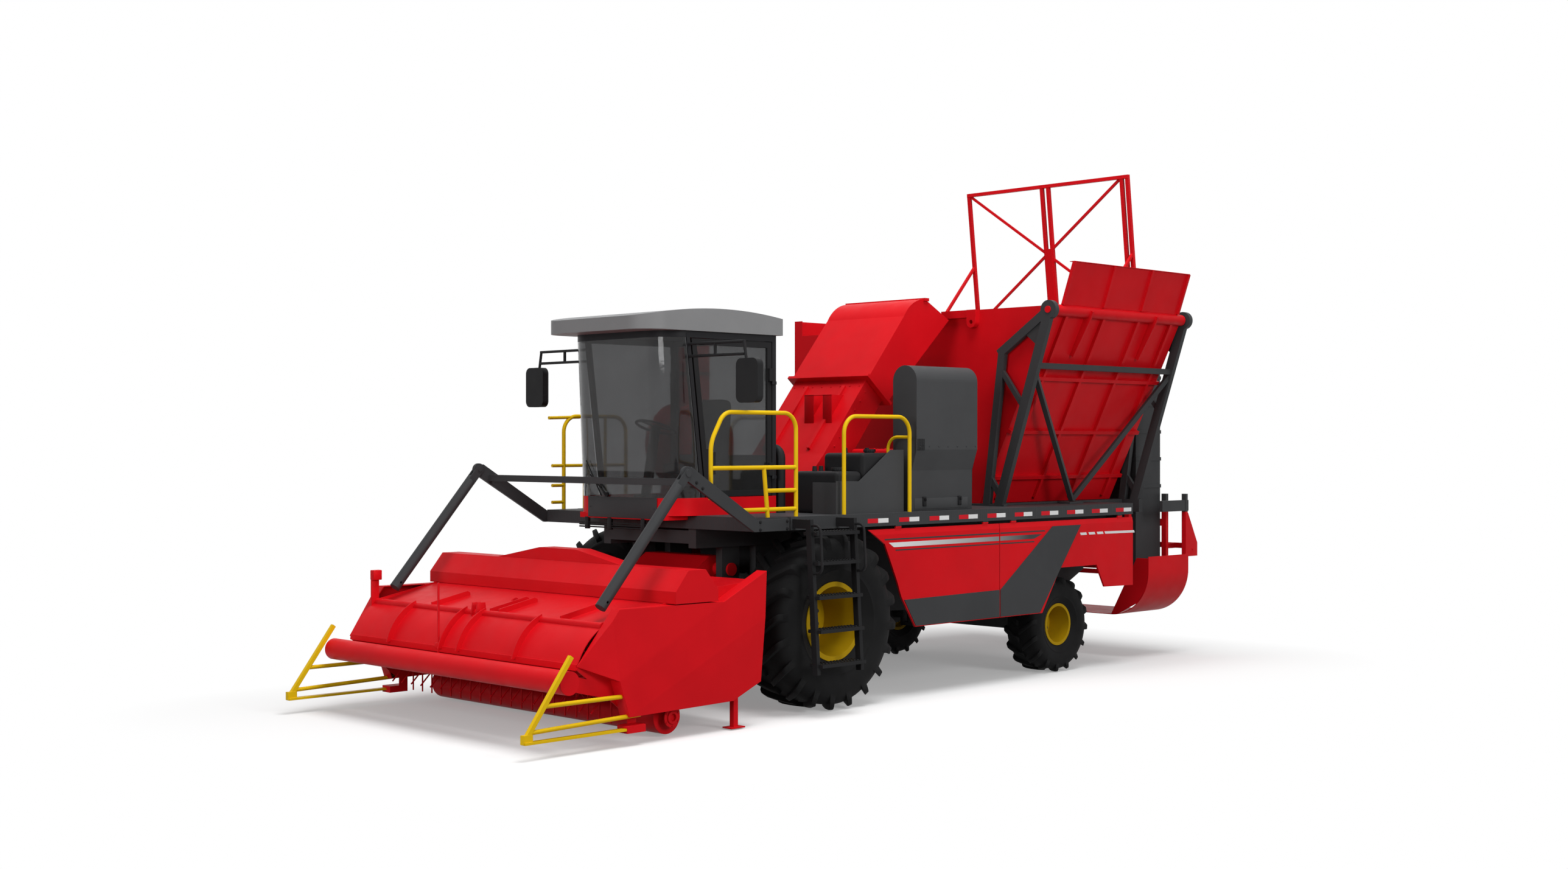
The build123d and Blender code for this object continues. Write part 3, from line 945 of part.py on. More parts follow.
# Header frame: trough and hood, end plates, feeder house with its hinge shaft, front tube and stand sockets
HEAD_OUTER = ((ax(2120), 1100), (ax(2120), 1200), (ax(1980), 1370), (ax(1790), 1370), (ax(1650), 1200), (ax(1650), 1110),
              (ax(1090), 1240), (ax(1090), 360), (ax(1440), 300), (ax(1850), 330))
HEAD_INNER = ((ax(2112), 1100), (ax(2112), 1197), (ax(1976), 1362), (ax(1794), 1362), (ax(1658), 1197), (ax(1658), 1100),
              (ax(1098), 1230), (ax(1098), 367), (ax(1441), 308), (ax(1850), 338))
END_PLATE = ((ax(1090), 1240), (ax(1090), 360), (ax(1440), 240), (ax(2000), 240), (ax(2030), 110), (ax(2110), 110),
             (ax(2140), 240), (ax(2560), 240), (ax(3060), 640), (ax(2790), 980), (ax(2120), 1110), (ax(2120), 1200),
             (ax(1980), 1370), (ax(1790), 1370), (ax(1650), 1200))
HOOD = ((ax(2120), 1100), (ax(2120), 1200), (ax(1980), 1370), (ax(1790), 1370), (ax(1650), 1200), (ax(1650), 1100))
HOOD_END = HEAD_HALF + 112
SOCKET = 72
with BuildPart() as header_frame:
    with BuildSketch(Plane.XZ.offset(-HEAD_HALF)):
        Polygon(*HEAD_OUTER, *reversed(HEAD_INNER), align=None)
    extrude(amount=2 * HEAD_HALF)
    with BuildSketch(Plane.YZ.offset(ax(1800))):
        Polygon((-900, 1366), (-260, 1480), (260, 1480), (900, 1366), align=None)
    extrude(amount=170)
    for s in (1, -1):
        with BuildSketch(Plane.XZ.offset(-s * HEAD_HALF + (s - 1) * HEAD_SHEET / 2)):
            Polygon(*END_PLATE, align=None)
            with Locations((ax(DRUM_X), DRUM_Z)):
                Circle(DRUM_SHAFT_R + FIT, mode=Mode.SUBTRACT)
            with Locations((ax(ROLLER_X), ROLLER_Z)):
                Circle(ROLLER_SHAFT_R + FIT, mode=Mode.SUBTRACT)
        extrude(amount=HEAD_SHEET)
        block(ax(STAND_X - SOCKET / 2), ax(STAND_X + SOCKET / 2), s * (HEAD_HALF - 2), s * (STAND_Y + SOCKET / 2), 420, 620)
        block(ax(STAND_X - STAND_TUBE / 2 - SEAT_GAP), ax(STAND_X + STAND_TUBE / 2 + SEAT_GAP),
              s * (STAND_Y - STAND_TUBE / 2 - SEAT_GAP), s * (STAND_Y + STAND_TUBE / 2 + SEAT_GAP), 400, 640,
              mode=Mode.SUBTRACT)
        bar((ax(2560), s * (HEAD_HALF - 10), 400), (ax(BUMPER_X), s * (HEAD_HALF - 10), BUMPER_Z), 20, 120)
        for inset in (0, HEAD_SHEET):
            wide = HOOD_END - HEAD_HALF - inset
            with BuildSketch(Plane.XZ.offset(-HEAD_HALF - wide if s == 1 else HEAD_HALF)):
                Polygon(*HOOD, align=None)
                if inset:
                    offset(amount=-HEAD_SHEET, kind=Kind.INTERSECTION, mode=Mode.REPLACE)
            extrude(amount=wide, mode=Mode.SUBTRACT if inset else Mode.ADD)
        block(ax(1670), ax(2100), s * HEAD_HALF, s * (HOOD_END - HEAD_SHEET), 1090, 1115, mode=Mode.SUBTRACT)
        block(ax(2450), ax(2540), s * (HEAD_HALF - HEAD_SHEET), s * HEAD_HALF, 105, 300)
        block(ax(2450), ax(2640), s * (HEAD_HALF - HEAD_SHEET), s * (DIVIDER_Y + 38), 105, 165)
        block(ax(2490), ax(2650), s * (DIVIDER_Y - 30 - SEAT_GAP), s * (DIVIDER_Y + 30 + SEAT_GAP), 125 - SEAT_GAP, 145 + SEAT_GAP,
              mode=Mode.SUBTRACT)
    with BuildSketch(Plane.XZ.offset(-FEEDER_HALF)):
        Polygon((ax(1091), 1000), (ax(1091), 370), (ax(LIFT_X - 60), LIFT_Z - 120), (ax(LIFT_X - 60), LIFT_Z + 120),
                (ax(LIFT_X + 100), LIFT_Z + 120), align=None)
    extrude(amount=2 * FEEDER_HALF)
    rod((ax(LIFT_X), -RAIL_Y - 50, LIFT_Z), (ax(LIFT_X), RAIL_Y + 50, LIFT_Z), LIFT_R)
    rod((ax(BUMPER_X), -BUMPER_HALF, BUMPER_Z), (ax(BUMPER_X), BUMPER_HALF, BUMPER_Z), BUMPER_R)
header_frame.part.label = "header_frame"
export_step(header_frame.part, "parts/header_frame.step")

# Drum cover: bent sheet with arched ribs from the front rail over the drum to the hood, and the cross shaft
COVER_HALF = HEAD_HALF - HEAD_SHEET
COVER_MID = (ax(2950), 835)
COVER_REAR = (ax(2120 + SEAT_GAP), 1098)
with BuildPart() as drum_cover:
    with BuildSketch(Plane.XZ.offset(-COVER_HALF)):
        with BuildLine():
            ThreePointArc((ax(RAIL_FRONT_X), RAIL_FRONT_Z), COVER_MID, (ax(SHAFT_X), SHAFT_Z))
            Polyline((ax(SHAFT_X), SHAFT_Z), COVER_REAR, (ax(2120 + SEAT_GAP), 1098 - COVER_T), (ax(SHAFT_X), SHAFT_Z - COVER_T))
            ThreePointArc((ax(SHAFT_X), SHAFT_Z - COVER_T), (ax(2945), 830), (ax(RAIL_FRONT_X - COVER_T), RAIL_FRONT_Z))
            Line((ax(RAIL_FRONT_X - COVER_T), RAIL_FRONT_Z), (ax(RAIL_FRONT_X), RAIL_FRONT_Z))
        make_face()
    extrude(amount=2 * COVER_HALF)
    block(ax(RAIL_FRONT_X - 40), ax(RAIL_FRONT_X + 10), -COVER_HALF, COVER_HALF, RAIL_FRONT_Z - 30, RAIL_FRONT_Z + 20)
    rod((ax(SHAFT_X), -COVER_HALF, SHAFT_Z), (ax(SHAFT_X), COVER_HALF, SHAFT_Z), SHAFT_R)
    for y in (-985, -200, 60, 845):
        with BuildSketch(Plane.XZ.offset(-y - 6)):
            with BuildLine():
                ThreePointArc((ax(RAIL_FRONT_X - 3), RAIL_FRONT_Z), (ax(2947), 832), (ax(SHAFT_X), SHAFT_Z - 3))
                Line((ax(SHAFT_X), SHAFT_Z - 3), (ax(SHAFT_X), SHAFT_Z + 48))
                ThreePointArc((ax(SHAFT_X), SHAFT_Z + 48), (ax(2992), 867), (ax(RAIL_FRONT_X + 48), RAIL_FRONT_Z))
                Line((ax(RAIL_FRONT_X + 48), RAIL_FRONT_Z), (ax(RAIL_FRONT_X - 3), RAIL_FRONT_Z))
            make_face()
        extrude(amount=12)
    for y in (-740, 130, 250, 1093):
        with BuildSketch(Plane.XZ.offset(-y - 6)):
            Polygon((ax(SHAFT_X), SHAFT_Z - 3), (ax(SHAFT_X - 410), SHAFT_Z + 80), (ax(SHAFT_X - 410), SHAFT_Z + 110),
                    (ax(SHAFT_X - 380), SHAFT_Z + 125), (ax(SHAFT_X), SHAFT_Z + 48), align=None)
        extrude(amount=12)
drum_cover.part.label = "drum_cover"
export_step(drum_cover.part, "parts/drum_cover.step")

# End shields: folded covers over the header's drives, open inside, with sockets for the dividers
SHIELD_OUT = HEAD_HALF + SHIELD_D
SHIELD = ((ax(1093), 1324), (ax(1132), 382), (ax(1457), 247), (ax(2617), 233), (ax(2718), 528), (ax(3060), 663), (ax(2701), 1094),
          (ax(1588), 1090))
SHIELD_FOLDS = (((ax(2718), SHIELD_OUT, 528), (ax(3060), HEAD_HALF + 6, 663), (ax(2701), SHIELD_OUT, 1094)),
                ((ax(2718), SHIELD_OUT, 528), (ax(1588), SHIELD_OUT, 1090), (ax(2701), SHIELD_OUT - 25, 1094)),
                ((ax(2617), SHIELD_OUT, 233), (ax(1457), SHIELD_OUT - 30, 247), (ax(1093), SHIELD_OUT, 934)))
DIVIDER_TIP = (ax(FRONT_TIP - 40), DIVIDER_Y, 175)
DIVIDER_LOW = ((ax(2480), DIVIDER_Y, 240), (ax(FRONT_TIP - 75), DIVIDER_Y, 212))
DIVIDER_MID = ((ax(2480), DIVIDER_Y, 400), (ax(3440), DIVIDER_Y, 400))


def fold_plane(a, b, c, inset):
    """Plane of a folded face, its normal outward, moved inward by inset."""
    out = (Vector(*b) - Vector(*a)).cross(Vector(*c) - Vector(*a)).normalized()
    out = out if out.Y > 0 else out * -1
    return Plane(origin=tuple(Vector(*a) - out * inset), z_dir=tuple(out))


with BuildPart() as shield_space:
    with BuildSketch(Plane.XZ.offset(-SHIELD_OUT + SHIELD_SKIN)):
        Polygon(*SHIELD, align=None)
        offset(amount=-SHIELD_SKIN, kind=Kind.INTERSECTION, mode=Mode.REPLACE)
    extrude(amount=SHIELD_D - SHIELD_SKIN)
    for fold in SHIELD_FOLDS:
        with Locations(fold_plane(*fold, SHIELD_SKIN)):
            Box(5000, 5000, 300, align=(Align.CENTER, Align.CENTER, Align.MIN), mode=Mode.SUBTRACT)

with BuildPart() as shield_left:
    with BuildSketch(Plane.XZ.offset(-SHIELD_OUT)):
        Polygon(*SHIELD, align=None)
    extrude(amount=SHIELD_D)
    for fold in SHIELD_FOLDS:
        with Locations(fold_plane(*fold, 0)):
            Box(5000, 5000, 300, align=(Align.CENTER, Align.CENTER, Align.MIN), mode=Mode.SUBTRACT)
    add(shield_space.part, mode=Mode.SUBTRACT)
    block(ax(STAND_X - 45), ax(STAND_X + 45), HEAD_HALF, SHIELD_OUT - SHIELD_SKIN - 36, 200, 300, mode=Mode.SUBTRACT)
    for a, b in (DIVIDER_LOW, DIVIDER_MID):
        block(a[0] - 60, a[0] + 60, DIVIDER_Y - 30, SHIELD_OUT - 6, max(a[2] - 30, 236), a[2] + 34)
        rod(a, b, DIVIDER_R + SEAT_GAP, mode=Mode.SUBTRACT)
shield_left.part.label = "shield_left"
export_step(shield_left.part, "parts/shield_left.step")

with BuildPart() as shield_right:
    mirror(shield_left.part, about=Plane.XZ)
shield_right.part.label = "shield_right"
export_step(shield_right.part, "parts/shield_right.step")

# Crop dividers
with BuildPart() as divider_left:
    bar(DIVIDER_TIP, (ax(3180), DIVIDER_Y, 760), 36, 36)
    block(ax(FRONT_TIP - 90), ax(FRONT_TIP), DIVIDER_Y - 20, DIVIDER_Y + 20, 130, 200)
    block(ax(2510), ax(FRONT_TIP - 10), DIVIDER_Y - 30, DIVIDER_Y + 30, 125, 145)
    rod(*DIVIDER_LOW, DIVIDER_R)
    rod(*DIVIDER_MID, DIVIDER_R)
divider_left.part.label = "divider_left"
export_step(divider_left.part, "parts/divider_left.step")

with BuildPart() as divider_right:
    mirror(divider_left.part, about=Plane.XZ)
divider_right.part.label = "divider_right"
export_step(divider_right.part, "parts/divider_right.step")

# Picking drum with rows of tines, staggered from row to row
DRUM_HALF = COVER_HALF - 30
with BuildPart() as picking_drum:
    rod((ax(DRUM_X), -DRUM_HALF, DRUM_Z), (ax(DRUM_X), DRUM_HALF, DRUM_Z), DRUM_R)
    rod((ax(DRUM_X), -HEAD_HALF, DRUM_Z), (ax(DRUM_X), HEAD_HALF, DRUM_Z), DRUM_SHAFT_R)
    tines = int(2 * (DRUM_HALF - 60) / TINE_PITCH)
    with Locations(Plane(origin=(ax(DRUM_X), 0, DRUM_Z), x_dir=(1, 0, 0), z_dir=(0, 1, 0))):
        for row in range(TINE_ROWS):
            shift = TINE_PITCH / 2 * (row % 2) - TINE_PITCH / 4
            spots = [(0, 0, TINE_PITCH * (i - (tines - 1) / 2) + shift) for i in range(tines)]
            with PolarLocations((DRUM_R + TINE_R) / 2 - 10, 1, start_angle=row * 360 / TINE_ROWS):
                with Locations(*spots):
                    Box(TINE_R - DRUM_R + 20, TINE_W, TINE_W)
picking_drum.part.label = "picking_drum"
export_step(picking_drum.part, "parts/picking_drum.step")

with BuildPart() as ground_roller:
    rod((ax(ROLLER_X), -ROLLER_HALF, ROLLER_Z), (ax(ROLLER_X), ROLLER_HALF, ROLLER_Z), ROLLER_R)
    rod((ax(ROLLER_X), -HEAD_HALF, ROLLER_Z), (ax(ROLLER_X), HEAD_HALF, ROLLER_Z), ROLLER_SHAFT_R)
ground_roller.part.label = "ground_roller"
export_step(ground_roller.part, "parts/ground_roller.step")

# Parking stands
with BuildPart() as stand_left:
    block(ax(STAND_X - STAND_TUBE / 2), ax(STAND_X + STAND_TUBE / 2), STAND_Y - STAND_TUBE / 2, STAND_Y + STAND_TUBE / 2,
          STAND_FOOT, 700)
    block(ax(STAND_X - 80), ax(STAND_X + 80), STAND_Y - 55, STAND_Y + 55, STAND_FOOT, STAND_FOOT + 12)
stand_left.part.label = "stand_left"
export_step(stand_left.part, "parts/stand_left.step")

with BuildPart() as stand_right:
    mirror(stand_left.part, about=Plane.XZ)
stand_right.part.label = "stand_right"
export_step(stand_right.part, "parts/stand_right.step")
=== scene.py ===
# %% [markdown]
# # A pepper harvester in its paint
#
# The solids of the machine come in as a fixed frame, with one body for every part that moves. This lesson
# dresses them: it mixes the paints, rubber and glass, adds the small sheet-metal pieces and fasteners that
# the solids leave out, and takes the picture from the front left corner.

# %% Load the solids
import math

import bmesh
import bpy
from mathutils import Matrix, Vector


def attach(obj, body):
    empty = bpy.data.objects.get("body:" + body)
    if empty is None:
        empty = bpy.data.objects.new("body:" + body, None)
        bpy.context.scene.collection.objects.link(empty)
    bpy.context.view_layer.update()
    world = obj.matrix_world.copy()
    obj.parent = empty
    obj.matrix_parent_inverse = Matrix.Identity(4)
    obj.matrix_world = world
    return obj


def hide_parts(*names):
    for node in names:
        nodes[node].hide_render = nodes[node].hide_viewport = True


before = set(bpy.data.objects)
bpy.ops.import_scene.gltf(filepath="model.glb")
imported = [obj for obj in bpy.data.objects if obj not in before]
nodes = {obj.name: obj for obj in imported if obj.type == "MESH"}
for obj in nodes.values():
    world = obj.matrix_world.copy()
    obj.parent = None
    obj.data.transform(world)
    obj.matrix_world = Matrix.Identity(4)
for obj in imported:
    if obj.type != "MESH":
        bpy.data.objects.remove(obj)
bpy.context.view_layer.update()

# %% [markdown]
# ## Places along the machine
#
# The front axle is easy to find on any picture of the machine, so all lengths are measured from it. The
# frame has its origin under the middle of the machine instead. One helper adds the distance between the
# two, which is safer than adding it by hand in every line.

# %% Measuring from the front axle
FRONT_AXLE = 1.275
REAR_AXLE = -3.69
DECK_SIDE = 1.5
DECK_TOP = 1.761
SIDES = (("left", 1), ("right", -1))


def ahead(d):
    """X of a place d metres ahead of the front axle."""
    return d + FRONT_AXLE


print("wheelbase:", ahead(0) - ahead(REAR_AXLE))

# %% [markdown]
# ## Small tools for finishes
#
# A finish in Blender is a net of nodes. The same few steps come in every net: a noise, a change of range, a
# sum and a blend of two colours. Each step is a helper here, so that a finish below reads as a recipe and
# not as a list of links.

# %% Steps of a finish
MIX_SHARE, MIX_FIRST, MIX_SECOND, MIX_COLOUR = 0, 6, 7, 2


def node_of(tree, kind):
    """The first node of its kind in a finish."""
    return next(n for n in tree.nodes if n.bl_idname == kind)


def speckle(tree, where, scale, detail):
    """Noise that lies still on the object."""
    noise = tree.nodes.new("ShaderNodeTexNoise")
    noise.inputs["Scale"].default_value = scale
    noise.inputs["Detail"].default_value = detail
    tree.links.new(where.outputs["Object"], noise.inputs["Vector"])
    return noise.outputs["Fac"]


def spread(tree, value, low, high, start=0.0, end=1.0):
    """The value, moved from the range of start and end to low and high."""
    span = tree.nodes.new("ShaderNodeMapRange")
    for name, amount in (("From Min", start), ("From Max", end), ("To Min", low), ("To Max", high)):
        span.inputs[name].default_value = amount
    tree.links.new(value, span.inputs["Value"])
    return span.outputs["Result"]


def worked_out(tree, operation, *values):
    """A sum: each value is an output of another node or a number."""
    step = tree.nodes.new("ShaderNodeMath")
    step.operation = operation
    for socket, value in zip(step.inputs, values):
        if isinstance(value, (int, float)):
            socket.default_value = value
        else:
            tree.links.new(value, socket)
    return step.outputs[0]


def colour_mix(tree, share, first, second):
    """A blend of two colours: each is an output of another node or a plain colour."""
    blend = tree.nodes.new("ShaderNodeMix")
    blend.data_type = "RGBA"
    tree.links.new(share, blend.inputs[MIX_SHARE])
    for socket, colour in ((MIX_FIRST, first), (MIX_SECOND, second)):
        if isinstance(colour, tuple):
            blend.inputs[socket].default_value = (*colour, 1)
        else:
            tree.links.new(colour, blend.inputs[socket])
    return blend.outputs[MIX_COLOUR]


def tone_ramp(tree, noise, colour, drift):
    """Colour that drifts a little to both sides with the noise."""
    tones = tree.nodes.new("ShaderNodeValToRGB")
    darker, lighter = tones.color_ramp.elements
    darker.position = 0.3
    lighter.position = 0.7
    darker.color = [c * (1 - drift) for c in colour] + [1]
    lighter.color = [min(1, c * (1 + drift)) for c in colour] + [1]
    tree.links.new(noise, tones.inputs["Fac"])
    return tones.outputs["Color"]


print("steps for finishes are ready")

# %% [markdown]
# ## Paints and other finishes
#
# A flat colour looks like plastic, so every finish is built from three noises: a slow one that drifts the
# colour by a few per cent, a middle one that varies the gloss as wiping and dust do, and a fine one for the
# texture of the coat. The bevel normal rounds the sharp edges of folded sheet in the light, which is
# cheaper than rounding thousands of edges in the mesh. Some sheets are sprayed in two colours with a masked
# edge; there the place on the machine picks the colour, as masking tape does.

# %% Finish maker
SLOW_NOISE = (2.3, 6.0)
WIPED_NOISE = (9.0, 8.0)
GRAIN_DETAIL = 2.0
GRAIN_DEPTH = 0.002
SHINIER, DULLER = 0.09, 0.13
SHEEN = 0.08


def masked_area(tree, where, limits):
    """One where all the limits hold: each gives an axis, a bound and whether to be over it."""
    spot = tree.nodes.new("ShaderNodeSeparateXYZ")
    tree.links.new(where.outputs["Object"], spot.inputs["Vector"])
    inside = None
    for axis, bound, over in limits:
        value = spot.outputs[axis[-1]]
        if axis.startswith("abs"):
            value = worked_out(tree, "ABSOLUTE", value)
        test = worked_out(tree, "GREATER_THAN" if over else "LESS_THAN", value, bound)
        inside = test if inside is None else worked_out(tree, "MULTIPLY", inside, test)
    return inside


def finish(
    name, colour, rough, metal=0.0, drift=0.06, grain=900.0, bump=0.05, edge=0.004, second=None, limits=()
):
    """A surface in one or two colours with drift, uneven gloss, fine grain and softened edges."""
    made = bpy.data.materials.new(name)
    made.use_nodes = True
    tree = made.node_tree
    shader = tree.nodes["Principled BSDF"]
    where = tree.nodes.new("ShaderNodeTexCoord")
    slow = speckle(tree, where, *SLOW_NOISE)
    wiped = speckle(tree, where, *WIPED_NOISE)
    fine = speckle(tree, where, grain, GRAIN_DETAIL)
    colours = tone_ramp(tree, slow, colour, drift)
    if second:
        masked = masked_area(tree, where, limits)
        colours = colour_mix(tree, masked, colours, tone_ramp(tree, slow, second, drift))
    gloss = spread(tree, wiped, max(0.02, rough - SHINIER), min(1.0, rough + DULLER))
    round_edge = tree.nodes.new("ShaderNodeBevel")
    round_edge.samples = 4
    round_edge.inputs["Radius"].default_value = edge
    skin = tree.nodes.new("ShaderNodeBump")
    skin.inputs["Strength"].default_value = bump
    skin.inputs["Distance"].default_value = GRAIN_DEPTH
    tree.links.new(fine, skin.inputs["Height"])
    tree.links.new(round_edge.outputs["Normal"], skin.inputs["Normal"])
    tree.links.new(colours, shader.inputs["Base Color"])
    tree.links.new(gloss, shader.inputs["Roughness"])
    tree.links.new(skin.outputs["Normal"], shader.inputs["Normal"])
    shader.inputs["Metallic"].default_value = metal
    shader.inputs["Specular IOR Level"].default_value = SHEEN
    made.diffuse_color = list(colour) + [1]
    return made


print("finish maker is ready")

# %% [markdown]
# ## Mixing the finishes
#
# The machine wears one red, two dark greys and a yellow for what a hand or an eye has to find. The rims
# take a darker, duller copy of that yellow as painted shade, for the shadow that they stand in. Rubber,
# cast iron and seat cloth are coarser than paint: they get a coarser grain and more of it. The two-colour
# paints give the bound of the masked edge.

# %% Mix the finishes
RED = (0.62, 0.005, 0.01)
DARK = (0.042, 0.043, 0.045)
PILLAR_BLACK = (0.02, 0.02, 0.022)
FILM_WHITE = (0.75, 0.75, 0.75)
DOOR_SKIN = 1.5003
CAB_SILL = 1.921
BOOT_RAIL = 1.63
BOOT_POSTS = ahead(-5.47)
red = finish("red_paint", RED, 0.42)
dark = finish("dark_paint", DARK, 0.46)
black = finish("black_paint", (0.014, 0.014, 0.015), 0.45)
grey = finish("grey_paint", (0.055, 0.056, 0.058), 0.5)
roof_grey = finish("roof_grey", (0.22, 0.222, 0.226), 0.45, drift=0.04, bump=0.02)
yellow = finish("yellow_paint", (0.74, 0.47, 0.006), 0.4)
# Painted shade: the rims get the yellow darkened and dulled to stand for the shadow they sit in.
shaded_rim_yellow = finish("rim_paint_in_painted_shade", (0.44, 0.27, 0.004), 0.5)
iron = finish("cast_iron", (0.05, 0.05, 0.052), 0.62, metal=0.4, drift=0.3, grain=160.0, bump=0.3)
rubber = finish("tyre_rubber", (0.0085, 0.0085, 0.0088), 0.68, drift=0.3, grain=220.0, bump=0.2)
plastic = finish("black_plastic", (0.016, 0.016, 0.017), 0.48, grain=500.0, bump=0.15, edge=0.003)
cloth = finish("seat_cloth", (0.03, 0.03, 0.034), 0.9, drift=0.25, grain=420.0, bump=0.6)
white = finish("white_film", FILM_WHITE, 0.35, drift=0.05, edge=0.001)
tape = finish("red_film", (0.6, 0.01, 0.02), 0.3, drift=0.08, edge=0.001)
mirror = finish("mirror_glass", (0.75, 0.76, 0.78), 0.12, metal=1.0, drift=0.03, bump=0.0, edge=0.001)
door_red = finish("door_paint", RED, 0.42, second=DARK, limits=(("absY", DOOR_SKIN, True),))
cab_red = finish("cab_paint", RED, 0.42, second=PILLAR_BLACK, limits=(("Z", CAB_SILL, True),))
boot_limits = (("Z", BOOT_RAIL, True), ("X", BOOT_POSTS, False))
boot_red = finish("boot_paint", RED, 0.42, second=DARK, limits=boot_limits)
print("finishes:", len(bpy.data.materials))

# %% [markdown]
# ## Smoked glass
#
# The cab glass is tinted, so the cab reads dark and the seat only shows faintly. A tinted transmission with
# a thin film of dust keeps the panes from looking like holes. Light crosses two faces of each pane, so the
# tint of one face is the root of the tint of the pane.

# %% Glass
PANE_TINT = (0.24, 0.243, 0.247)


def smoked_glass():
    """Tinted pane with a thin uneven film of dust."""
    made = bpy.data.materials.new("smoked_glass")
    made.use_nodes = True
    tree = made.node_tree
    shader = tree.nodes["Principled BSDF"]
    where = tree.nodes.new("ShaderNodeTexCoord")
    film = speckle(tree, where, 4.0, 7.0)
    tree.links.new(tone_ramp(tree, film, PANE_TINT, 0.08), shader.inputs["Base Color"])
    tree.links.new(spread(tree, film, 0.02, 0.08), shader.inputs["Roughness"])
    shader.inputs["Transmission Weight"].default_value = 0.94
    shader.inputs["IOR"].default_value = 1.3
    made.diffuse_color = (0.1, 0.1, 0.11, 0.5)
    return made


glass = smoked_glass()
print("glass:", glass.name)

# %% [markdown]
# ## Tread plate
#
# The deck is sheet with raised bars, so that boots hold on it. Modelling thousands of bars would cost more
# than they show, so two slanted wave patterns raise them in the bump alone.

# %% Deck sheet
BAR_WAVES = ((45, 5.0), (-45, 14.0))


def tread_plate():
    """Dark sheet with rows of raised slanted bars."""
    made = finish("tread_plate", DARK, 0.5)
    tree = made.node_tree
    skin = node_of(tree, "ShaderNodeBump")
    where = node_of(tree, "ShaderNodeTexCoord")
    waves = []
    for turn, scale in BAR_WAVES:
        aim = tree.nodes.new("ShaderNodeMapping")
        aim.inputs["Rotation"].default_value = (0, 0, math.radians(turn))
        bars = tree.nodes.new("ShaderNodeTexWave")
        bars.inputs["Scale"].default_value = scale
        tree.links.new(where.outputs["Object"], aim.inputs["Vector"])
        tree.links.new(aim.outputs["Vector"], bars.inputs["Vector"])
        waves.append(bars.outputs["Fac"])
    tree.links.new(worked_out(tree, "MULTIPLY", *waves), skin.inputs["Height"])
    skin.inputs["Strength"].default_value = 0.35
    return made


deck_sheet = tread_plate()
print("deck sheet:", deck_sheet.name)

# %% [markdown]
# ## Painting the solids
#
# Each solid takes one finish in its material slot. The doors, the cab and the boot take the two-colour
# paints. A table of finishes and names is easier to check against the machine than one line for every
# solid.

# %% Paint the solids
COATS = (
    (rubber, "tyre_front_left tyre_front_right tyre_rear_left tyre_rear_right"),
    # The rims take the darkened yellow, which is painted shade.
    (shaded_rim_yellow, "rim_front_left rim_front_right rim_rear_left rim_rear_right"),
    (yellow, "handrail_left handrail_right handrail_tank divider_left divider_right"),
    (iron, "front_axle rear_axle knuckle_left knuckle_right engine"),
    (dark, "chassis_frame push_frame push_arms bin_stand"),
    (dark, "side_band_left side_band_right rear_elevator separator"),
    (deck_sheet, "deck"),
    (black, "ladder"),
    (grey, "tank_shield radiator_housing"),
    (red, "elevator fan_duct bin_shell bin_flap bin_frame header_frame drum_cover shield_left shield_right"),
    (red, "ground_roller stand_left stand_right picking_drum"),
    (door_red, "side_door_left side_door_right rear_door_left rear_door_right"),
    (cab_red, "cab_frame"),
    (boot_red, "rear_boot"),
    (roof_grey, "cab_roof"),
    (glass, "windscreen glass_right glass_rear door_glass"),
    (plastic, "mirror_left mirror_right tanks door_frame"),
    (cloth, "driver_station"),
)
for coat, names in COATS:
    for name in names.split():
        mesh = nodes[name].data
        mesh.materials.clear()
        mesh.materials.append(coat)
print("painted solids:", sum(len(names.split()) for coat, names in COATS))

# %% [markdown]
# ## Places for small pieces
#
# A bolt on a slope and a bolt on a wall are the same bolt in another place. So every small piece is built
# standing on a flat spot, and a place moves and turns that spot to where the piece belongs. Four helpers
# give the places that come most often.

# %% Places
def facing(spot, out, along=(1, 0, 0)):
    """A place on a surface: local Z points out of it and local X runs along it."""
    z = Vector(out).normalized()
    x = Vector(along)
    x = (x - z * x.dot(z)).normalized()
    turn = Matrix((x, z.cross(x), z)).transposed().to_4x4()
    return Matrix.Translation(Vector(spot)) @ turn


def on_top(spot):
    """A place on a level face: local X runs forward."""
    return facing(spot, (0, 0, 1))


def on_front(spot):
    """A place on a face that looks forward: local X runs left and local Y up."""
    return facing(spot, (1, 0, 0), along=(0, 1, 0))


def on_side(spot, side=1):
    """A place on a face that looks to the side: local X runs forward."""
    return facing(spot, (0, side, 0))


def upright(spot, side=1):
    """A place on a face that looks to the side: local X runs forward and local Y up."""
    return on_side(spot, side) @ Matrix.Diagonal((1, -side, 1, 1))


def shifted(place, out):
    """The same place, moved out of its surface."""
    return place @ Matrix.Translation((0, 0, out))


def turns(count):
    """Angles of a full turn in equal steps."""
    return [2 * math.pi * k / count for k in range(count)]


print("places are ready")

# %% [markdown]
# ## Tools for small pieces
#
# Bolts, straps, plates and tubes come again and again, so a few helpers collect them in one mesh for each
# piece. A piece of fifty bolts is one object: it is quick to draw and rides on its body as one. Every block
# gets rounded edges, because a real edge always catches a line of light.

# %% Blocks, discs and bolts
WASHER_WIDE, WASHER_DEEP, HEAD_DEEP = 1.3, 0.18, 0.62


def add_block(bm, size, place, bevel=0.003, segments=2):
    """A block with rounded edges standing on its place: size is along, across and out."""
    shape = bmesh.ops.create_cube(bm, size=1.0)["verts"]
    for v in shape:
        v.co = place @ Vector((v.co.x * size[0], v.co.y * size[1], (v.co.z + 0.5) * size[2]))
    rims = {e for v in shape for e in v.link_edges}
    bmesh.ops.bevel(bm, geom=list(rims), offset=bevel, segments=segments, affect="EDGES", profile=0.5)


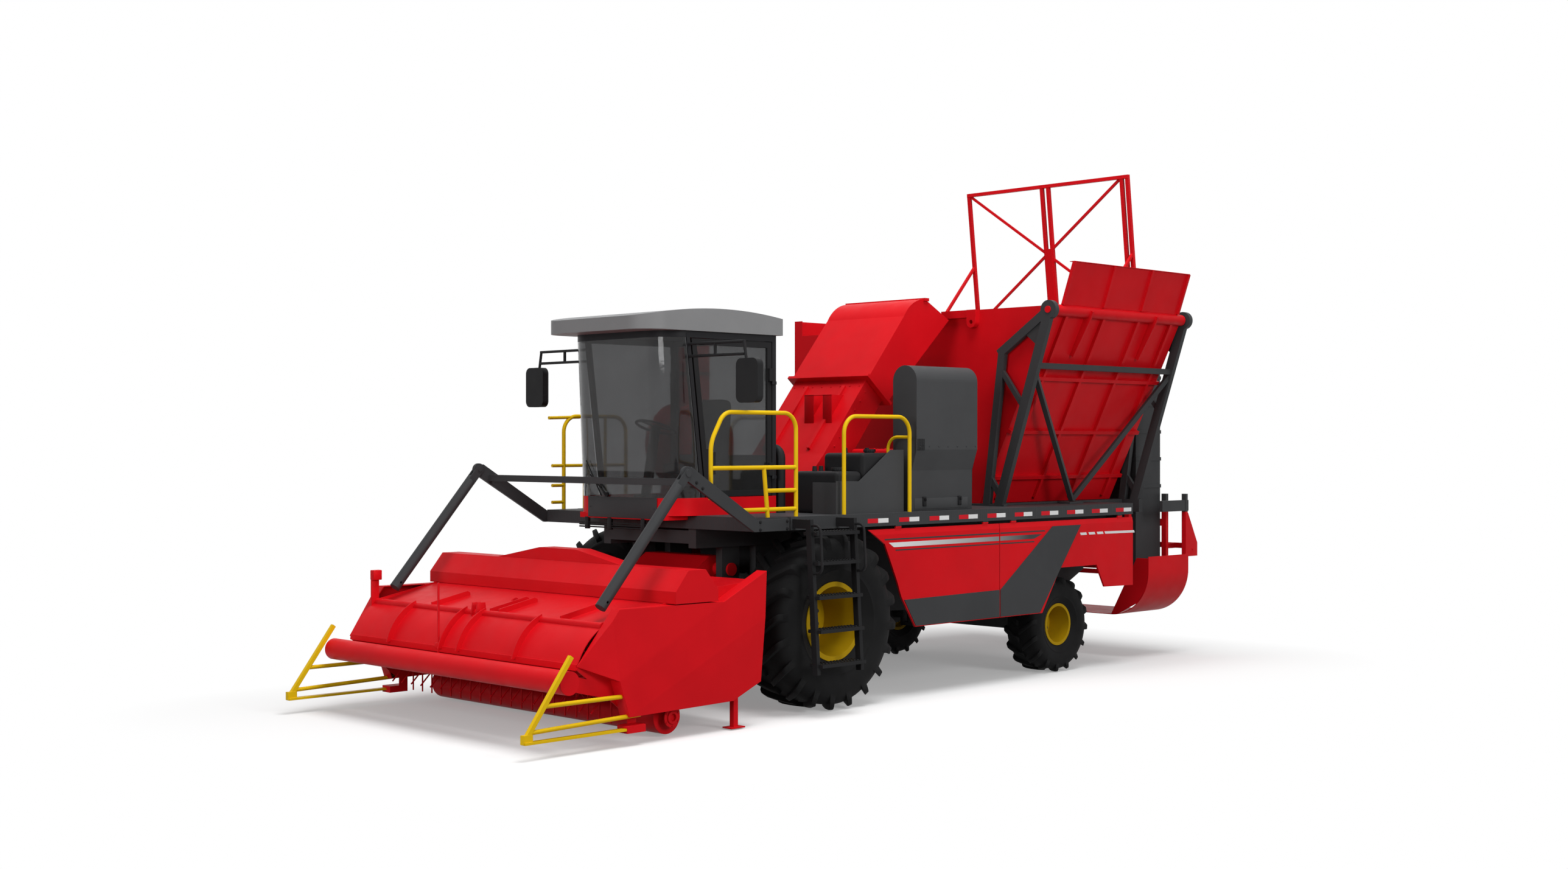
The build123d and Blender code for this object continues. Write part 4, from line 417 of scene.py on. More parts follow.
def add_disc(bm, place, radius, depth, sides=28, taper=0.94):
    """A round plate with a chamfered rim, standing on its place."""
    middle = shifted(place, depth / 2)
    top = radius * taper
    bmesh.ops.create_cone(
        bm, cap_ends=True, segments=sides, radius1=radius, radius2=top, depth=depth, matrix=middle
    )


def add_bolt(bm, spot, out, size=0.012):
    """A hexagon head on a washer."""
    place = facing(spot, out, along=(0.31, 0.52, 0.79))
    add_disc(bm, place, size * WASHER_WIDE, size * WASHER_DEEP, sides=18)
    add_disc(bm, shifted(place, size * WASHER_DEEP), size, size * HEAD_DEEP, sides=6, taper=0.9)


print("blocks, discs and bolts are ready")

# %% [markdown]
# ## Plates, tubes and rings
#
# Sheet is cut to an outline, rails and rods are tubes through a few points, and bearings and wheels are
# rings. All three are loops of points joined by quads, which keeps the meshes light and closed.

# %% Plates, tubes and rings
def join_loops(bm, first, second):
    """Quads between two closed loops of the same count."""
    for k in range(len(first)):
        bm.faces.new((first[k - 1], first[k], second[k], second[k - 1]))


def add_plate(bm, outline, depth, place, bevel=0.0015):
    """A flat plate with the outline, standing on its place."""
    low = [bm.verts.new(place @ Vector((x, y, 0))) for x, y in outline]
    high = [bm.verts.new(place @ Vector((x, y, depth))) for x, y in outline]
    walls = [bm.faces.new((low[i - 1], low[i], high[i], high[i - 1])) for i in range(len(low))]
    walls += [bm.faces.new(list(reversed(low))), bm.faces.new(high)]
    if bevel:
        rims = {e for f in walls for e in f.edges}
        bmesh.ops.bevel(bm, geom=list(rims), offset=bevel, segments=2, affect="EDGES", profile=0.5)


def add_tube(bm, points, radius, sides=12):
    """A round tube through the points, closed at both ends."""
    points = [Vector(p) for p in points]
    side = (points[1] - points[0]).orthogonal().normalized()
    rings = []
    for i, spot in enumerate(points):
        run = (points[min(i + 1, len(points) - 1)] - points[max(i - 1, 0)]).normalized()
        side = (side - run * side.dot(run)).normalized()
        lift = run.cross(side)
        around = [side * math.cos(t) + lift * math.sin(t) for t in turns(sides)]
        rings.append([bm.verts.new(spot + out * radius) for out in around])
    for a, b in zip(rings, rings[1:]):
        join_loops(bm, a, b)
    bm.faces.new(list(reversed(rings[0])))
    bm.faces.new(rings[-1])


def add_ring(bm, place, inner, outer, depth, sides=36):
    """A flat ring with a chamfered rim, standing on its place."""
    section = ((inner, 0), (outer, 0), (outer, depth * 0.8), (outer - depth * 0.2, depth), (inner, depth))
    loops = []
    for radius, height in section:
        round_points = [Vector((radius * math.cos(t), radius * math.sin(t), height)) for t in turns(sides)]
        loops.append([bm.verts.new(place @ point) for point in round_points])
    for a, b in zip(loops, loops[1:] + loops[:1]):
        join_loops(bm, a, b)


def hang(name, bm, coat, body, sharp=38):
    """Turns the collected mesh into a piece in its finish, riding on its body."""
    bmesh.ops.recalc_face_normals(bm, faces=bm.faces)
    mesh = bpy.data.meshes.new(name)
    bm.to_mesh(mesh)
    bm.free()
    mesh.shade_smooth()
    mesh.set_sharp_from_angle(angle=math.radians(sharp))
    mesh.materials.append(coat)
    piece = bpy.data.objects.new(name, mesh)
    bpy.context.scene.collection.objects.link(piece)
    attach(piece, body)
    print(name, "faces:", len(mesh.polygons))
    return piece


# %% [markdown]
# ## Tyres
#
# The drive tyres carry slanted bars in two rows, staggered by half a step, and open to the outside so that
# mud is pushed out. The solids only have one flat for each bar. Here the carcass is a section turned round
# the axle, and every bar is a strip of the same slant and count that follows the crown and drops over the
# shoulder.

# %% Tyre carcass
# The section: part of the half width in from the side, and part of the way from the crown to the rim.
SECTION = (
    (1.0, -0.004), (0.55, 0.0), (0.26, 0.014), (0.12, 0.085), (0.035, 0.2), (0.004, 0.335), (0.006, 0.48),
    (0.03, 0.59), (0.06, 0.66), (0.05, 0.675), (0.075, 0.7), (0.17, 0.82), (0.245, 0.915), (0.285, 0.97),
    (0.293, 0.998),
)
WIDEST = 5


def carcass_radius(inset, crown, rim):
    """Radius of the carcass at a part of the half width in from the side."""
    for (a0, b0), (a1, b1) in zip(SECTION, SECTION[1:WIDEST + 1]):
        if inset >= a1:
            return crown - (b0 + (b1 - b0) * (a0 - inset) / (a0 - a1)) * (crown - rim)
    return crown - SECTION[WIDEST][1] * (crown - rim)


def add_carcass(bm, centre, crown, rim, half, steps=96):
    """The section turned round the axle."""
    side = [(half * (1 - a), crown - b * (crown - rim)) for a, b in SECTION]
    line = [(-y, r) for y, r in reversed(side)] + side[1:]
    rings = []
    for t in turns(steps):
        around = [centre + Vector((r * math.cos(t), y, -r * math.sin(t))) for y, r in line]
        rings.append([bm.verts.new(point) for point in around])
    for k in range(steps):
        join_loops(bm, rings[k - 1], rings[k])


print("section points:", len(SECTION))

# %% [markdown]
# ## Tread bars
#
# A bar is wider at its foot than at its top and bends down over the shoulder. It could be cut from a thick
# ring, but a strip of loops along its run is lighter and keeps its edges clean, so that they can be rounded
# afterwards.

# %% Tread bars
# Along a bar: part of the half width, and the drop of its top on a tyre of the front size.
BAR_RUN = (
    (0.034, 0.004), (0.2, 0.0), (0.41, 0.0), (0.61, 0.0), (0.8, 0.002), (0.9, 0.01), (0.954, 0.032),
    (0.978, 0.075),
)
BAR_MIDDLE = 0.488
BAR_SLANT = math.tan(math.radians(35))
BAR_SUNK = 0.015
FOOT_REACH, TOP_REACH = 0.72, 0.56
FRONT_SIZE = 0.8


def add_bar(bm, centre, middle, row, outer, crown, rim, half, wide):
    """One bar in loops of four points along its run."""
    loops = []
    for part, drop in BAR_RUN:
        foot = carcass_radius(1 - part, crown, rim) - BAR_SUNK
        top = outer - drop * outer / FRONT_SIZE
        angle = middle - (part - BAR_MIDDLE) * half * BAR_SLANT / outer
        loop = []
        for radius, reach in ((foot, -FOOT_REACH), (top, -TOP_REACH), (top, TOP_REACH), (foot, FOOT_REACH)):
            t = angle + reach * wide / radius
            corner = Vector((radius * math.cos(t), row * half * part, -radius * math.sin(t)))
            loop.append(bm.verts.new(centre + corner))
        loops.append(loop)
    return loops


def add_bars(bm, centre, outer, crown, rim, half, count, wide):
    """Two staggered rows of slanted bars with rounded tops."""
    rounded = []
    for row, stagger in ((1, 0.0), (-1, 0.5)):
        for i in range(count):
            middle = 2 * math.pi * (i + stagger) / count
            loops = add_bar(bm, centre, middle, row, outer, crown, rim, half, wide)
            for a, b in zip(loops, loops[1:]):
                join_loops(bm, a, b)
                rounded += [bm.edges.get((a[1], b[1])), bm.edges.get((a[2], b[2]))]
            for end in (loops[0], loops[-1]):
                bm.faces.new(end)
                rounded.append(bm.edges.get((end[1], end[2])))
    bmesh.ops.bevel(bm, geom=rounded, offset=0.006, segments=2, affect="EDGES", profile=0.5)


# Axle, place ahead and to the side, radius over the bars, of the crown and of the rim, half width,
# number of bars and their width.
TYRES = (
    ("front", 0.0, 1.296, 0.799, 0.754, 0.338, 0.2925, 20, 0.052),
    ("rear", REAR_AXLE, 1.12, 0.498, 0.47, 0.205, 0.1995, 16, 0.04),
)
OFF_GROUND = 0.001
for axle, x, y, outer, crown, rim, half, count, wide in TYRES:
    for side, s in SIDES:
        bm = bmesh.new()
        centre = Vector((ahead(x), s * y, outer + OFF_GROUND))
        add_carcass(bm, centre, crown, rim, half)
        add_bars(bm, centre, outer, crown, rim, half, count, wide)
        tyre = hang(f"tread_{axle}_{side}", bm, rubber, f"wheel_{axle}_{side}", sharp=50)
        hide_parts(f"tyre_{axle}_{side}")

# %% [markdown]
# ## Wheel nuts
#
# Nuts hold each yellow disc to its hub, ten on the drive wheels and six behind, round a raised ring at the
# hub. They are real geometry, because they turn with the wheel and show it turning.

# %% Wheel nuts and hub rings
# Axle, place ahead, height, place of the disc to the side, radius of the ring of nuts, number of nuts.
DISCS = (("front", 0.0, 0.8, 1.125, 0.19, 10), ("rear", REAR_AXLE, 0.5, 1.04, 0.12, 6))
NUT = 0.017
for axle, x, z, face, ring, count in DISCS:
    for side, s in SIDES:
        bm = bmesh.new()
        for k in range(count):
            t = 2 * math.pi * (k + 0.5) / count
            spot = (ahead(x) + ring * math.cos(t), s * face, z + ring * math.sin(t))
            add_bolt(bm, spot, (0, s, 0), NUT)
        add_ring(bm, on_side((ahead(x), s * face, z), s), ring * 0.3, ring * 0.5, 0.012)
        hang(f"wheel_nuts_{axle}_{side}", bm, iron, f"wheel_{axle}_{side}")

# %% [markdown]
# ## Fading film
#
# The doors carry printed stripes that fade from white to dark toward the rear. Printing does this with
# dots. Here the place along the machine sets the share of the two colours, which gives the same even
# change.

# %% Fading film
FADE_DARK, FADE_WHITE = ahead(-2.9), ahead(-0.95)


def fading_film():
    """White in front that turns dark toward the rear."""
    made = finish("fading_film", FILM_WHITE, 0.35, drift=0.04, edge=0.001)
    tree = made.node_tree
    spot = tree.nodes.new("ShaderNodeSeparateXYZ")
    tree.links.new(node_of(tree, "ShaderNodeTexCoord").outputs["Object"], spot.inputs["Vector"])
    share = spread(tree, spot.outputs["X"], 0.0, 1.0, FADE_DARK, FADE_WHITE)
    colours = colour_mix(tree, share, (0.05, 0.05, 0.052), FILM_WHITE)
    tree.links.new(colours, tree.nodes["Principled BSDF"].inputs["Base Color"])
    return made


fading = fading_film()
print("film:", fading.name)

# %% [markdown]
# ## Reflective tape
#
# Red and white reflective tape runs along the deck edge, cut in short pairs. Film this thin is a plate of
# under a millimetre, stuck on the surface, so that it has its own edge and finish.

# %% Reflective tape
FILM = 0.0008
TAPE_START, TAPE_STEP, TAPE_HEIGHT = -0.466, 0.4394, 1.692
TAPE_LONG = 0.145
TAPE_CUT = (0.143, 0.042, FILM)
TAPES = (("red", tape, "red_paint", 0.0), ("white", white, "roof_grey", TAPE_LONG))
for side, s in SIDES:
    for colour, coat, slot, start in TAPES:
        bm = bmesh.new()
        for i in range(10):
            middle = ahead(TAPE_START - TAPE_STEP * i - start - TAPE_LONG / 2)
            place = on_side((middle, s * DECK_SIDE, TAPE_HEIGHT), s)
            add_block(bm, TAPE_CUT, place, bevel=0.0003, segments=1)
        hang(f"tape_{colour}_{side}", bm, coat, "carrier")

# %% [markdown]
# ## Door stripes
#
# Three stripes cross both doors of a side, with a gap where the doors meet, and four dashes end them at the
# rear. Each stripe belongs to one door, so that it lifts with it. The outlines are given ahead of the front
# axle and above the ground.

# %% Door stripes
SPLIT = -2.42
GAP = 0.01
FRONT_END, REAR_END = SPLIT + GAP, SPLIT - GAP
FRONT_STRIPES = (
    ("line", ((-0.7, 1.519), (-0.705, 1.505), (FRONT_END, 1.505), (FRONT_END, 1.519))),
    ("band", ((-0.76, 1.481), (-0.83, 1.437), (FRONT_END, 1.437), (FRONT_END, 1.481))),
    ("low", ((-0.85, 1.414), (-0.855, 1.402), (FRONT_END, 1.402), (FRONT_END, 1.414))),
)
REAR_STRIPES = (
    ("line", ((REAR_END, 1.519), (REAR_END, 1.505), (-3.17, 1.505), (-3.16, 1.519))),
    ("band", ((REAR_END, 1.481), (REAR_END, 1.437), (-2.98, 1.437), (-3.12, 1.481))),
    ("low", ((REAR_END, 1.414), (REAR_END, 1.402), (-2.99, 1.402), (-2.98, 1.414))),
    ("dash", ((-3.77, 1.471), (-3.785, 1.445), (-3.895, 1.445), (-3.88, 1.471))),
    ("dash", ((-3.92, 1.471), (-3.935, 1.445), (-4.045, 1.445), (-4.03, 1.471))),
    ("dash", ((-4.07, 1.47), (-4.085, 1.444), (-4.195, 1.444), (-4.18, 1.47))),
    ("dash", ((-4.21, 1.47), (-4.225, 1.444), (-4.775, 1.439), (-4.76, 1.465))),
)
STRIPE_LOOKS = (
    ("dark", dark, "dark_paint", ("line", "low")),
    ("fading", fading, "roof_grey", ("band",)),
    ("white", white, "roof_grey", ("dash",)),
)
for side, s in SIDES:
    for door, stripes in (("side", FRONT_STRIPES), ("rear", REAR_STRIPES)):
        for look, coat, slot, kinds in STRIPE_LOOKS:
            chosen = [outline for kind, outline in stripes if kind in kinds]
            if not chosen:
                continue
            bm = bmesh.new()
            for outline in chosen:
                flat = [(ahead(d), z) for d, z in outline]
                add_plate(bm, flat, FILM, upright((0, s * DECK_SIDE, 0), s), bevel=0)
            hang(f"stripes_{look}_{door}_{side}", bm, coat, f"{door}_door_{side}")

# %% [markdown]
# ## Engine cover
#
# A sheet cover with an arched top stands over the engine on the left, and its lower part steps in. The
# cover is one section pushed along the deck, as the folded sheet is. The solid rounds the top the other
# way, so this piece takes its place.

# %% Arched cover
COVER_FACE, COVER_FOOT = 1.45, 1.38
COVER_BACK, COVER_LONG = -2.13, 0.915


def arch_section():
    """Outline of the cover, across the machine and up."""
    ridge, reach, spring = 1.299, 0.151, 3.009
    arc = [math.pi * k / 20 for k in range(21)]
    top = [(ridge + reach * math.cos(t), spring + reach * math.sin(t)) for t in arc]
    return [(COVER_FOOT, DECK_TOP), (COVER_FOOT, 2.15), (COVER_FACE, 2.35)] + top + [(1.148, DECK_TOP)]


bm = bmesh.new()
add_plate(bm, arch_section(), COVER_LONG, on_front((ahead(COVER_BACK), 0, 0)), bevel=0.004)
cover = hang("engine_cover", bm, grey, "carrier", sharp=30)
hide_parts("radiator_housing")

# %% [markdown]
# ## Fittings of the cover
#
# A small mesh patch lets air in, a hatch closes the foot of the cover, and two black latches hold it. The
# mesh is two rows of thin wires that cross, because a bump would look flat from the side.

# %% Mesh patch, latches and hatch
WIRES = 8
bm = bmesh.new()
for k in range(WIRES):
    upright_wire = on_side((ahead(-1.228 - 0.014 * k), COVER_FACE, 2.398))
    level_wire = on_side((ahead(-1.277), COVER_FACE, 2.346 + 0.0148 * k))
    add_block(bm, (0.004, 0.11, 0.003), upright_wire, bevel=0.001, segments=1)
    add_block(bm, (0.106, 0.004, 0.003), level_wire, bevel=0.001, segments=1)
for d in (-1.4, -1.93):
    add_block(bm, (0.05, 0.09, 0.012), on_side((ahead(d), 1.384, 1.85)), bevel=0.004)
    add_block(bm, (0.02, 0.03, 0.02), on_side((ahead(d), 1.394, 1.87)), bevel=0.004)
hang("cover_latches", bm, black, "carrier")
bm = bmesh.new()
add_block(bm, (0.8, 0.105, 0.004), on_side((ahead(-1.66), COVER_FOOT, 1.83)), bevel=0.002)
for k in range(7):
    add_bolt(bm, (ahead(-1.26 - 0.14 * k), COVER_FACE, 2.38), (0, 1, 0), 0.006)
hang("cover_hatch", bm, grey, "carrier")

# %% [markdown]
# ## Tanks
#
# The two tanks behind the ladder are blow-moulded, so their edges are well rounded and their screw caps are
# ribbed. A block with a wide bevel gives that shape in one step.

# %% Rounded tanks
CAP_RIBS = 20
TANK_SIDE = 1.37


def add_cap(bm, spot):
    """A ribbed screw cap on a short neck."""
    place = on_top(spot)
    add_disc(bm, place, 0.05, 0.012, sides=32, taper=1.0)
    add_disc(bm, shifted(place, 0.012), 0.058, 0.026, sides=32, taper=0.95)
    for t in turns(CAP_RIBS):
        rib = place @ Matrix.Rotation(t, 4, "Z") @ Matrix.Translation((0.056, 0, 0.013))
        add_block(bm, (0.005, 0.007, 0.022), rib, bevel=0.001, segments=1)


bm = bmesh.new()
for x0, x1, y0, top in ((-0.54, -0.2, 0.8, 2.15), (-1.06, -0.545, 0.85, 2.32)):
    place = on_top((ahead((x0 + x1) / 2), (y0 + TANK_SIDE) / 2, DECK_TOP))
    add_block(bm, (x1 - x0, TANK_SIDE - y0, top - DECK_TOP), place, bevel=0.045, segments=5)
for d, top in ((-0.38, 2.148), (-0.82, 2.318)):
    add_cap(bm, (ahead(d), 1.2, top))
for d, y, top in ((-0.28, 1.0, 2.148), (-0.45, 0.92, 2.148), (-0.7, 1.0, 2.318), (-0.95, 1.05, 2.318)):
    add_disc(bm, on_top((ahead(d), y, top)), 0.024, 0.05, taper=0.8)
tanks = hang("moulded_tanks", bm, plastic, "carrier", sharp=45)
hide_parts("tanks")

# %% [markdown]
# ## Seat
#
# The seat shows through the smoked glass. Foam swells in the middle and is held in by seams. It could be
# blown up by a cloth simulation, but a seat is too small here for that, so each cushion starts as a dense
# block that is rounded, crowned and creased along the seams.

# %% Padded blocks
ROUNDNESS = 7
SEAM_WIDE, SEAM_DEEP = 0.05, 0.012
CROWN = 0.012


def add_cushion(bm, size, place, seams):
    """Foam block with a crowned face and creased seams."""
    bmesh.ops.create_cube(bm, size=2.0)
    bmesh.ops.subdivide_edges(bm, edges=list(bm.edges), cuts=17, use_grid_fill=True)
    for v in bm.verts:
        reach = sum(abs(c) ** ROUNDNESS for c in v.co) ** (1 / ROUNDNESS)
        x, y, z = v.co / reach
        if z > 0:
            crease = sum(math.exp(-(((x - seam) / SEAM_WIDE) ** 2)) for seam in seams)
            swell = CROWN * (1 - x * x) * (1 - y * y) - SEAM_DEEP * crease * (1 - y ** 8)
            z += swell / (size[2] / 2)
        long = x * size[0] / 2 * (1 - 0.02 * (1 - y * y))
        across = y * size[1] / 2 * (1 - 0.03 * (1 - x * x))
        v.co = place @ Vector((long, across, (z + 1) * size[2] / 2))


bm = bmesh.new()
add_cushion(bm, (0.45, 0.475, 0.1), on_top((ahead(0.335), 0, 2.122)), (-0.45, 0.0, 0.45))
cushion = hang("seat_cushion", bm, cloth, "carrier", sharp=60)
bm = bmesh.new()
rise = Vector((-0.06, 0, 0.65)).normalized()
ahead_of_back = Vector((rise.z, 0, -rise.x))
foot = Vector((ahead(0.14), 0, 2.2)) + rise * 0.325 - ahead_of_back * 0.05
add_cushion(bm, (0.62, 0.45, 0.1), facing(foot, ahead_of_back, along=rise), (-0.3, 0.25))
back = hang("seat_back", bm, cloth, "carrier", sharp=60)

# %% [markdown]
# ## Pedestal and steering wheel
#
# The seat rides on a folded rubber bellows, and the steering wheel stands on a leaning column in front of
# it. The bellows is a pile of blocks that are wide and narrow in turn. The wheel is a tube bent to a ring
# with three spokes.

# %% Pedestal, column and wheel
WHEEL_RADIUS = 0.185
bm = bmesh.new()
for k in range(7):
    step_in = 0.03 * (k % 2)
    fold = on_top((ahead(0.3), 0, 1.812 + 0.044 * k))
    add_block(bm, (0.3 - step_in, 0.36 - step_in, 0.046), fold, bevel=0.012)
add_block(bm, (0.95, 0.59, 0.01), on_top((ahead(0.54), 0, 1.801)), bevel=0.003)
add_tube(bm, [(ahead(0.95), 0, 1.85), (ahead(0.83), 0, 2.48), (ahead(0.815), 0, 2.55)], 0.045)
add_block(bm, (0.15, 0.18, 0.13), on_top((ahead(0.935), 0, 1.81)), bevel=0.02, segments=3)
wheel = facing((ahead(0.815), 0, 2.56), (-0.35, 0, 1))
rim_turns = turns(40) + [2 * math.pi]
rim_line = [wheel @ Vector((WHEEL_RADIUS * math.cos(t), WHEEL_RADIUS * math.sin(t), 0)) for t in rim_turns]
add_tube(bm, rim_line, 0.013, sides=10)
for degrees in (0, 120, 240):
    spoke = wheel @ Matrix.Rotation(math.radians(degrees), 4, "Z")
    add_tube(bm, [spoke @ Vector((r, 0, 0)) for r in (0.02, 0.1, 0.18)], 0.011, sides=8)
add_disc(bm, shifted(wheel, -0.015), 0.045, 0.03)
controls = hang("seat_base_and_wheel", bm, plastic, "carrier", sharp=45)
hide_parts("driver_station")

# %% [markdown]
# ## Cab nose
#
# Thin hydraulic rods run under the nose of the cab on short brackets, and a dark panel covers the nose
# itself. They are tubes and blocks, because each of them is a stock bar or a cut sheet on the machine.

# %% Rods and nose panel
NOSE = 1.24
PANEL_HEIGHT = 1.825
bm = bmesh.new()
for z in (1.675, 1.655, 1.635):
    add_tube(bm, [(ahead(1.22), -0.62, z), (ahead(1.22), 0.42, z)], 0.007, sides=8)
for y in (-0.5, -0.17, 0.3):
    add_block(bm, (0.03, 0.05, 0.112), on_top((ahead(1.222), y, 1.615)), bevel=0.004)
add_block(bm, (0.05, 0.6, 0.02), on_top((ahead(1.2), -0.1, 1.712)), bevel=0.004)
hang("nose_rods", bm, black, "carrier")
bm = bmesh.new()
add_block(bm, (0.97, 0.19, 0.004), on_front((ahead(NOSE), 0.02, PANEL_HEIGHT)), bevel=0.0015)
for y in (-0.43, 0.47):
    add_bolt(bm, (ahead(1.244), y, PANEL_HEIGHT), (1, 0, 0), 0.006)
hang("nose_panel", bm, dark, "carrier")

# %% [markdown]
# ## Wiper, gasket and mirror glass
#
# A wiper lies on the windscreen, a rubber gasket closes the joint between roof and cab, and the mirrors
# have their glass on the side that faces the driver. The gasket is one tube round the cab, hidden for the
# most part, so it has few sides.

# %% Wiper, roof gasket and mirror glass
ROOF_JOINT = 3.418
MIRROR = (2.287, DECK_SIDE, 2.957)
bm = bmesh.new()
add_disc(bm, facing((ahead(1.242), -0.18, 1.94), (1, 0, -0.05)), 0.022, 0.02)
wiper_arm = [(ahead(1.262), -0.18, 1.94), (ahead(1.268), -0.29, 2.03), (ahead(1.271), -0.4, 2.12)]
add_tube(bm, wiper_arm, 0.007, sides=8)
add_tube(bm, [(ahead(1.262), -0.25, 1.93), (ahead(1.277), -0.45, 2.25)], 0.006, sides=8)
hang("wiper", bm, black, "carrier")
bm = bmesh.new()
roof_edge = ((-0.04, -0.7), (-0.04, 0.7), (1.02, 0.7), (1.28, 0.45), (1.28, -0.45), (1.02, -0.7))
add_tube(bm, [(ahead(d), y, ROOF_JOINT) for d, y in roof_edge + roof_edge[:1]], 0.014, sides=10)
hang("roof_gasket", bm, plastic, "carrier")
for side, s in SIDES:
    bm = bmesh.new()
    place = facing((MIRROR[0], s * MIRROR[1], MIRROR[2]), (-1, 0, 0), along=(0, 1, 0))
    add_block(bm, (0.23, 0.345, 0.002), place, bevel=0.0009, segments=1)
    hang(f"mirror_face_{side}", bm, mirror, "carrier")

# %% [markdown]
# ## Ladder steps
#
# The ladder steps have a toothed face so that boots hold. The ladder leans out toward its foot, so each row
# of teeth follows its own step. The teeth are blocks and not a bump, because the steps are seen from the
# side.

# %% Toothed steps
STEP_HEIGHTS = (1.63, 1.37, 1.07, 0.775, 0.475)
LADDER_TOP, LADDER_DROP = 1.74, 1.36
LADDER_SIDE, LADDER_LEAN = 1.69, 0.09
TOOTH_STEP = 0.04
bm = bmesh.new()
for z in STEP_HEIGHTS:
    middle = LADDER_SIDE + LADDER_LEAN * (LADDER_TOP - z) / LADDER_DROP
    for row in (-0.06, -0.02, 0.02, 0.06):
        for k in range(13):
            d = -0.03 + TOOTH_STEP * k + TOOTH_STEP / 2 * (row > 0)
            add_block(bm, (0.022, 0.014, 0.007), on_top((ahead(d), middle + row, z)), bevel=0.002, segments=1)
hang("step_teeth", bm, black, "carrier")

# %% [markdown]
# ## Push plates and pins
#
# Bolts join the bent push plates to the deck, and pins with round heads carry the arms. The bolts stay with
# the deck and the heads turn with the arms, so they are two pieces on two bodies.

# %% Push plate bolts and pin heads
PUSH_BOLTS = ((1.66, 2.08), (1.59, 2.03), (0.91, 1.724), (0.91, 1.657), (0.58, 1.724), (0.58, 1.657))
PIN = (ahead(1.76), 1.48, 2.16)
PIN_HALF = 0.0275
for side, s in SIDES:
    bm = bmesh.new()
    for d, z in PUSH_BOLTS:
        add_bolt(bm, (ahead(d), s * 1.495, z), (0, s, 0), 0.012)
    hang(f"push_bolts_{side}", bm, black, "carrier")
    bm = bmesh.new()
    for out in (1, -1):
        add_disc(bm, on_side((PIN[0], s * (PIN[1] + out * PIN_HALF), PIN[2]), out), 0.034, 0.006)
    hang(f"pin_heads_{side}", bm, dark, "push_arms")

# %% [markdown]
# ## Roller bearings
#
# Flanged bearings hold the ends of the ground roller. Each is a wide ring, a collar on it and six bolts
# round it, painted over with the header.

# %% Roller bearings
ROLLER = (ahead(2.07), 1.64, 0.165)
FLANGE_BOLTS = 0.07
for side, s in SIDES:
    bm = bmesh.new()
    bearing = on_side((ROLLER[0], s * ROLLER[1], ROLLER[2]), s)
    add_ring(bm, bearing, 0.032, 0.085, 0.01)
    add_ring(bm, shifted(bearing, 0.01), 0.032, 0.055, 0.012)
    for k in range(6):
        t = math.radians(60 * k + 30)
        spot = (ROLLER[0] + FLANGE_BOLTS * math.cos(t), s * 1.65, ROLLER[2] + FLANGE_BOLTS * math.sin(t))
        add_bolt(bm, spot, (0, s, 0), 0.008)
    hang(f"roller_bearing_{side}", bm, red, "header")

# %% [markdown]
# ## Fittings of the drum cover
#
# A clevis and a holed lug stand over the cover, a thin rod shows the driver the header's middle, and a
# bracket stands on the right end plate. All are welded to the header, so they are one piece in its red.

# %% Clevis, lug, rod and bracket
CLEVIS = (ahead(2.79), 0.96)
ROD = (ahead(3.06), -0.24)
bm = bmesh.new()
half_round = [math.pi + math.pi * k / 12 for k in range(13)]
cheek = [(0.055 * math.cos(t), 0.055 * math.sin(t)) for t in half_round] + [(0.04, 0.09), (-0.04, 0.09)]
for y in (-0.075, -0.005):
    add_plate(bm, cheek, 0.012, upright((CLEVIS[0], y, CLEVIS[1])))
add_ring(bm, on_side((ahead(2.5), 0.09, 1.04)), 0.018, 0.042, 0.014)
add_block(bm, (0.07, 0.014, 0.1), on_top((ahead(2.5), 0.097, 0.93)), bevel=0.003)
add_tube(bm, [(*ROD, z) for z in (0.6, 0.9, 1.22)], 0.01, sides=10)
add_block(bm, (0.045, 0.05, 0.05), on_top((*ROD, 0.66)), bevel=0.006)
add_block(bm, (0.08, 0.02, 0.26), on_top((ahead(2.81), -1.62, 0.9)), bevel=0.003)
add_block(bm, (0.09, 0.06, 0.09), on_top((ahead(2.81), -1.6, 1.16)), bevel=0.006)
hang("cover_fittings", bm, red, "header")

# %% [markdown]
# ## Elevator
#
# The elevator casing is bolted sheet, so rows of small bolts follow its seams. On the sloping face stands a
# hoop of two upright plates, each with a web behind it, under a thin strip. Sheet of six millimetres is a
# plate with small bevels.

# %% Elevator hoop and bolts
HOOP, HOOP_TOP, HOOP_FOOT, HOOP_BACK = ahead(-1.186), 2.896, 2.604, ahead(-1.42)
SHEET = 0.006
slope = Vector((0.77, 0, 0.638)).normalized()
bm = bmesh.new()
for y0, y1 in ((-0.015, 0.116), (0.24, 0.365)):
    middle = (y0 + y1) / 2
    add_block(bm, (y1 - y0, 0.292, SHEET), on_front((HOOP, middle, 2.75)), bevel=0.002)
    web = [(HOOP, HOOP_FOOT), (HOOP, HOOP_TOP), (HOOP_BACK, HOOP_TOP)]
    add_plate(bm, web, SHEET, upright((0, middle, 0)))
add_block(bm, (0.38, 0.008, SHEET), on_front((HOOP, 0.175, 2.892)), bevel=0.002)
add_block(bm, (0.52, 0.15, 0.004), on_front((ahead(-0.6), 0, 1.86)), bevel=0.002)
hang("elevator_hoop", bm, red, "carrier")
bm = bmesh.new()
for k in range(8):
    add_bolt(bm, (ahead(-1.49), -0.455 + 0.13 * k, 2.985), slope, 0.008)
    for s in (1, -1):
        add_bolt(bm, (ahead(-1.0 - 0.075 * k), s * 0.5, 2.29 + 0.0905 * k), (0, s, 0), 0.008)
for k in range(5):
    add_bolt(bm, (ahead(-0.6), -0.22 + 0.11 * k, 1.92), (1, 0, 0), 0.007)
